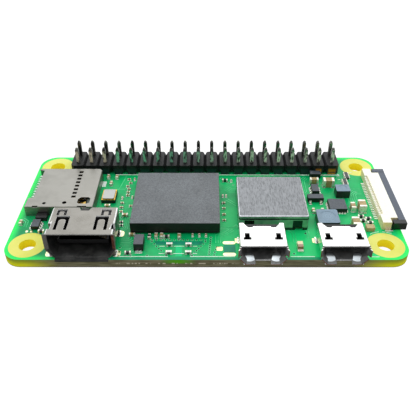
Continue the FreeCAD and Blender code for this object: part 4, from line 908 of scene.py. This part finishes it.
# Patches where the mask has another tone: piece, then its paint and outlines
PATCHES = {
    "mask_over_bare_laminate": ("dark_track", ((-8.5, -10.6), (-0.5, -10.6), (-0.9, -11.45), (-8.1, -11.45)),
                                ((2.75, -11.45), (4.65, -11.45), (4.65, -13.3), (2.75, -13.3))),
    "mask_between_columns": ("fresh_track", ((-4.95, -11.6), (-3.9, -11.6), (-3.9, -14.2), (-4.95, -14.2))),
}

# Rows of vias: first and last place and how many; then the ones that stand alone
VIA_ROWS = (
    ((-8.9, -10.25), (-0.2, -10.25), 13), ((-8.9, -10.7), (-6.4, -14.0), 7),
    ((-0.2, -10.7), (-2.3, -14.0), 7), ((0.7, -9.6), (0.4, -13.7), 9),
    ((1.6, -12.0), (1.2, -13.9), 4), ((-13.9, -12.2), (-13.9, -14.1), 3),
    ((-19.0, -3.6), (-13.2, -4.6), 5), ((2.8, 7.6), (4.9, 5.4), 4), ((13.4, -6.9), (17.0, -6.9), 6),
    ((22.6, 6.6), (25.0, 8.3), 5), ((17.6, -3.8), (17.6, 1.8), 7),
)
LONE_VIAS = [(-29.5, -6.7), (-12.0, -14.2), (-9.4, -14.0), (13.9, -13.6), (16.4, -8.6), (27.3, 3.1)]


def make_tracks():
    """Copper under the mask, where the board isn't covered by parts."""
    bm = bmesh.new()
    for bus in BUSES:
        add_bus(bm, *bus)
    add_piece("surface_tracks", bm, ["track"], "board")
    for name, (paint, *outlines) in PATCHES.items():
        bm = bmesh.new()
        for corners in outlines:
            add_plate(bm, corners, PATCH_RISE)
        add_piece(name, bm, [paint], "board")


def make_vias():
    """Plated through holes closed by mask: a small raised rim with a dark dimple in it."""
    places = [place for row in VIA_ROWS for place in spaced(*row)]
    rims, dimples = bmesh.new(), bmesh.new()
    for place in places + LONE_VIAS:
        add_disc(rims, place, 0.23, 0.016)
        add_disc(dimples, place, 0.17, 0.019)
    add_piece("via_rims", rims, ["via_rim"], "board")
    add_piece("via_dimples", dimples, ["via_dip"], "board")


def arc_path(centre, radius, start, end):
    turns = [math.radians(start + (end - start) * step / 10) for step in range(11)]
    return [(centre[0] + radius * math.cos(turn), centre[1] + radius * math.sin(turn)) for turn in turns]


def make_legend():
    """White printed lines: part outlines and marks, with no lettering."""
    wide, plain, thin, dash = 0.2, 0.14, 0.12, 0.1
    bm = bmesh.new()

    def draw(width, *points):
        add_strip(bm, [Vector(point) for point in points], width, INK_RISE)

    for start, end in (((-13.9, -14.25), (-6.1, -14.25)), ((-2.6, -14.25), (4.5, -14.25)),
                       ((13.3, -14.25), (17.1, -14.25)), ((25.9, -14.3), (27.3, -14.3)),
                       ((25.3, 8.72), (24.9, 9.1))):
        draw(plain, start, end)
    draw(wide, (-17.0, 8.82), (25.3, 8.72))
    for row in (-11.8, -13.55):
        for left, right in ((-7.6, -6.7), (-5.3, -3.6), (-2.2, -1.5)):
            draw(dash, (left, row), (right, row))
    add_plate(bm, [(-19.45, 4.8), (-18.75, 4.8), (-18.75, 6.5), (-19.45, 6.5)], INK_RISE)
    for start, end in ((60, 86), (96, 124)):
        draw(thin, *arc_path((HOLE_X, -HOLE_Y), 3.35, start, end))
    for x, y in ((24.7, 7.2), (24.7, 8.4), (27.4, 9.6)):
        draw(thin, (x, y), (x + 0.5, y))
    add_piece("legend_marks", bm, ["ink"], "board")


# ---------------------------------------------------------------- carried-over parts


def along_y(edge, shortest):
    """True for a straight edge along Y that is at least shortest millimetres long."""
    run = (edge.verts[1].co - edge.verts[0].co) / MM
    return abs(run.y) > shortest and abs(run.x) < 0.05 and abs(run.z) < 0.05


def shell_faces(name, rim_depth, rim_from, display=False):
    """A pick for a port's stamped shell: painted shade inside and on some front faces, a painted highlight on
    the display port's roof rim and side bends, and copper showing where the sheet is sheared.
    That is within rim_depth of the front and over rim_from off the middle, and on the display port only
    to the right."""
    low, high = node_box(name)
    middle = (low + high) / 2
    roof = high.z - 0.4
    flush = low.y > -HALF_WIDE - 0.3

    def pick(normal, centre):
        apart = centre.x - middle.x if display else abs(centre.x - middle.x)
        if flush and centre.y < -HALF_WIDE and abs(normal.x) < 0.5:
            return PAINTED_SHADE
        if normal.y < -0.8:
            if centre.y < low.y + rim_depth and apart > rim_from and (display or centre.z < roof):
                return CUT
            if centre.z > roof:
                return PAINTED_HIGHLIGHT if display else PAINTED_SHADE
        if display and 0.15 < abs(normal.x) < 0.97 and normal.z > 0.15 and centre.z > high.z - 0.5:
            return PAINTED_HIGHLIGHT
        outward = normal.x * (centre.x - middle.x) + normal.z * (centre.z - TOP - 1.2)
        if abs(normal.y) < 0.8 and outward < 0 and centre.z > TOP:
            return PAINTED_SHADE
        return BODY

    return pick


def roof_corner(edge, angle):
    """The long outer bends of the display port's roof."""
    low, high = node_box("display_port_shell")
    spot = (edge.verts[0].co + edge.verts[1].co) / (2 * MM)
    outer = abs(spot.x - (low.x + high.x) / 2) > (high.x - low.x) / 2 - 1.1
    return angle > ROUNDED and along_y(edge, 1.0) and outer and spot.z > high.z - 0.4


def usb_corner(edge, angle):
    """The long bends of a data port's shell."""
    return angle > 25 and along_y(edge, 2.0)


def can_crown(edge, angle):
    """The edges round the top of the shield."""
    roof = node_box("wireless_shield_can")[1].z
    return angle > ROUNDED and all(vertex.co.z / MM > roof - 0.01 for vertex in edge.verts)


def can_faces(normal, centre):
    """The shield has a brushed top inside a bend with a painted highlight, and walls with a painted
    reflection of the board.
    """
    roof = node_box("wireless_shield_can")[1].z
    top, bend, wall = range(3)
    if normal.z > 0.97 and centre.z > roof - 0.02:
        return top
    return bend if normal.z > 0.3 and centre.z > roof - 0.5 else wall


def antenna_glaze(normal, centre):
    """The four parts in the antenna's field are white on top with fronts painted grey as painted shade; the
    rest are tan.
    """
    tan, white, front_painted_shade = range(3)
    if not (-7.5 < centre.x < -1.5 and -14.2 < centre.y < -10.9):
        return tan
    return white if normal.z > 0.4 else front_painted_shade


def camera_sides(normal, centre):
    """The moulding is near white, 0, on top and in its contact slots, and painted yellower, 1, on its sides
    as painted shade.
    """
    low, high = node_box("camera_connector_housing")
    in_slot = abs(normal.y) > 0.5 and low.y + 1.5 < centre.y < high.y - 1.5
    return 0 if normal.z > 0.5 or in_slot else 1


def latch_end(normal, centre):
    """The latch is grey, 0, and the block at its front end is black, 1."""
    front = node_box("camera_connector_latch")[0].y
    return 1 if centre.y < front + 1.3 else 0


# How each CAD node is finished: its paints, width of the rounded edges in millimetres and their segments,
# then for some its bends, the choice of paint for each face and the angle of sharp shading
FINISHES = {
    "circuit_board": ("board", 0.03, 1), "header_body": ("header", 0.06, 2), "header_pins": ("pins", 0.05, 2),
    "header_solder_joints": ("solder", 0.0, 2),
    "display_port_shell": ("display_shell cut_edge display_inside bright_rim", 0.035, 2,
                           (roof_corner, 0.26, 5), shell_faces("display_port_shell", 1.2, 4.3, True)),
    "data_port_shell": ("usb_shell cut_edge inside", 0.035, 2, (usb_corner, 0.16, 3),
                        shell_faces("data_port_shell", 0.9, 0.0)),
    "power_port_shell": ("usb_shell cut_edge inside", 0.035, 2, (usb_corner, 0.16, 3),
                         shell_faces("power_port_shell", 0.9, 0.0)),
    "display_port_insulator": ("deep_black", 0.04, 2), "display_port_contacts": ("dim_gold", 0.02, 1),
    "data_port_insulator": ("deep_black", 0.04, 2), "data_port_contacts": ("dim_gold", 0.02, 1),
    "power_port_insulator": ("deep_black", 0.04, 2), "power_port_contacts": ("dim_gold", 0.02, 1),
    "port_solder_joints": ("solder", 0.05, 2), "card_socket_shell": ("card_shell cut_edge", 0.05, 2),
    "card_socket_base": ("card_floor", 0.04, 2), "card_socket_tails": ("solder", 0.03, 2),
    "card_contact_springs": ("gold", 0.02, 1), "card_detect_spring": ("gold", 0.02, 1),
    "camera_connector_housing": ("ivory ivory_side", 0.04, 2, None, camera_sides),
    "camera_connector_latch": ("latch black", 0.08, 2, None, latch_end),
    "camera_connector_contacts": ("tin", 0.03, 1), "camera_connector_anchors": ("solder", 0.05, 2),
    "processor_mould": ("processor", 0.05, 2), "processor_substrate": ("deep_black", 0.03, 2),
    "processor_solder_balls": ("solder", 0.0, 2),
    "wireless_shield_can": ("can can_edge can_wall", 0.02, 1, (can_crown, 0.4, 5), can_faces, 30.0),
    "wireless_module_substrate": ("board", 0.02, 2), "wireless_chip": ("chip", 0.04, 2),
    "inductor_large": ("inductor", 0.1, 3), "inductor_medium": ("inductor", 0.08, 3),
    "inductor_small": ("chip", 0.05, 2), "power_controller_body": ("chip", 0.04, 2),
    "power_controller_lands": ("tin", 0.02, 1), "power_switch_body": ("chip", 0.04, 2),
    "power_switch_leads": ("tin", 0.03, 2), "regulator_body": ("chip", 0.04, 2),
    "regulator_leads": ("tin", 0.03, 2), "protection_chip_body": ("chip", 0.04, 2),
    "protection_chip_leads": ("tin", 0.03, 2), "diode_body": ("diode", 0.05, 2),
    "diode_terminals": ("solder", 0.05, 2), "status_light_base": ("ivory", 0.02, 2),
    "status_light_lens": ("lens", 0.04, 2), "crystal_base": ("deep_black", 0.04, 2),
    "crystal_rim": ("gold", 0.02, 2), "crystal_lid": ("crystal_lid", 0.05, 2),
    "line_filter": ("black", 0.05, 2), "ferrite_bead": ("beige", 0.06, 2),
    "capacitor_bodies": ("capacitor white_glaze grey_glaze", 0.03, 2, None, antenna_glaze),
    "capacitor_terminals": ("tin", 0.05, 3),
    "resistor_bodies": ("resistor", 0.03, 2), "resistor_terminals": ("tin", 0.03, 2),
    "resistor_array_bodies": ("resistor", 0.03, 2), "resistor_array_terminals": ("tin", 0.03, 2),
}


def finish_nodes():
    for node, (paints, *shaping) in FINISHES.items():
        finish(node, paints.split(), *shaping)


bpy.context.scene.view_settings.view_transform = "Standard"
make_camera()
make_floor("floor", -1.25 * MM, True)
make_floor("bounce_floor", -1.3 * MM, False)
make_sky()
make_light("back_softbox", (0, 260, 240), (0, 0, 0), 260, 0.14)
make_light("front_softbox", (-60, -170, 270), (0, 0, 0), 180, 0.09)
make_paints()
finish_nodes()
make_solder_fillets()
make_lands()
make_latch_springs()
make_floor_springs()
make_card_teeth()
make_tracks()
make_vias()
make_legend()
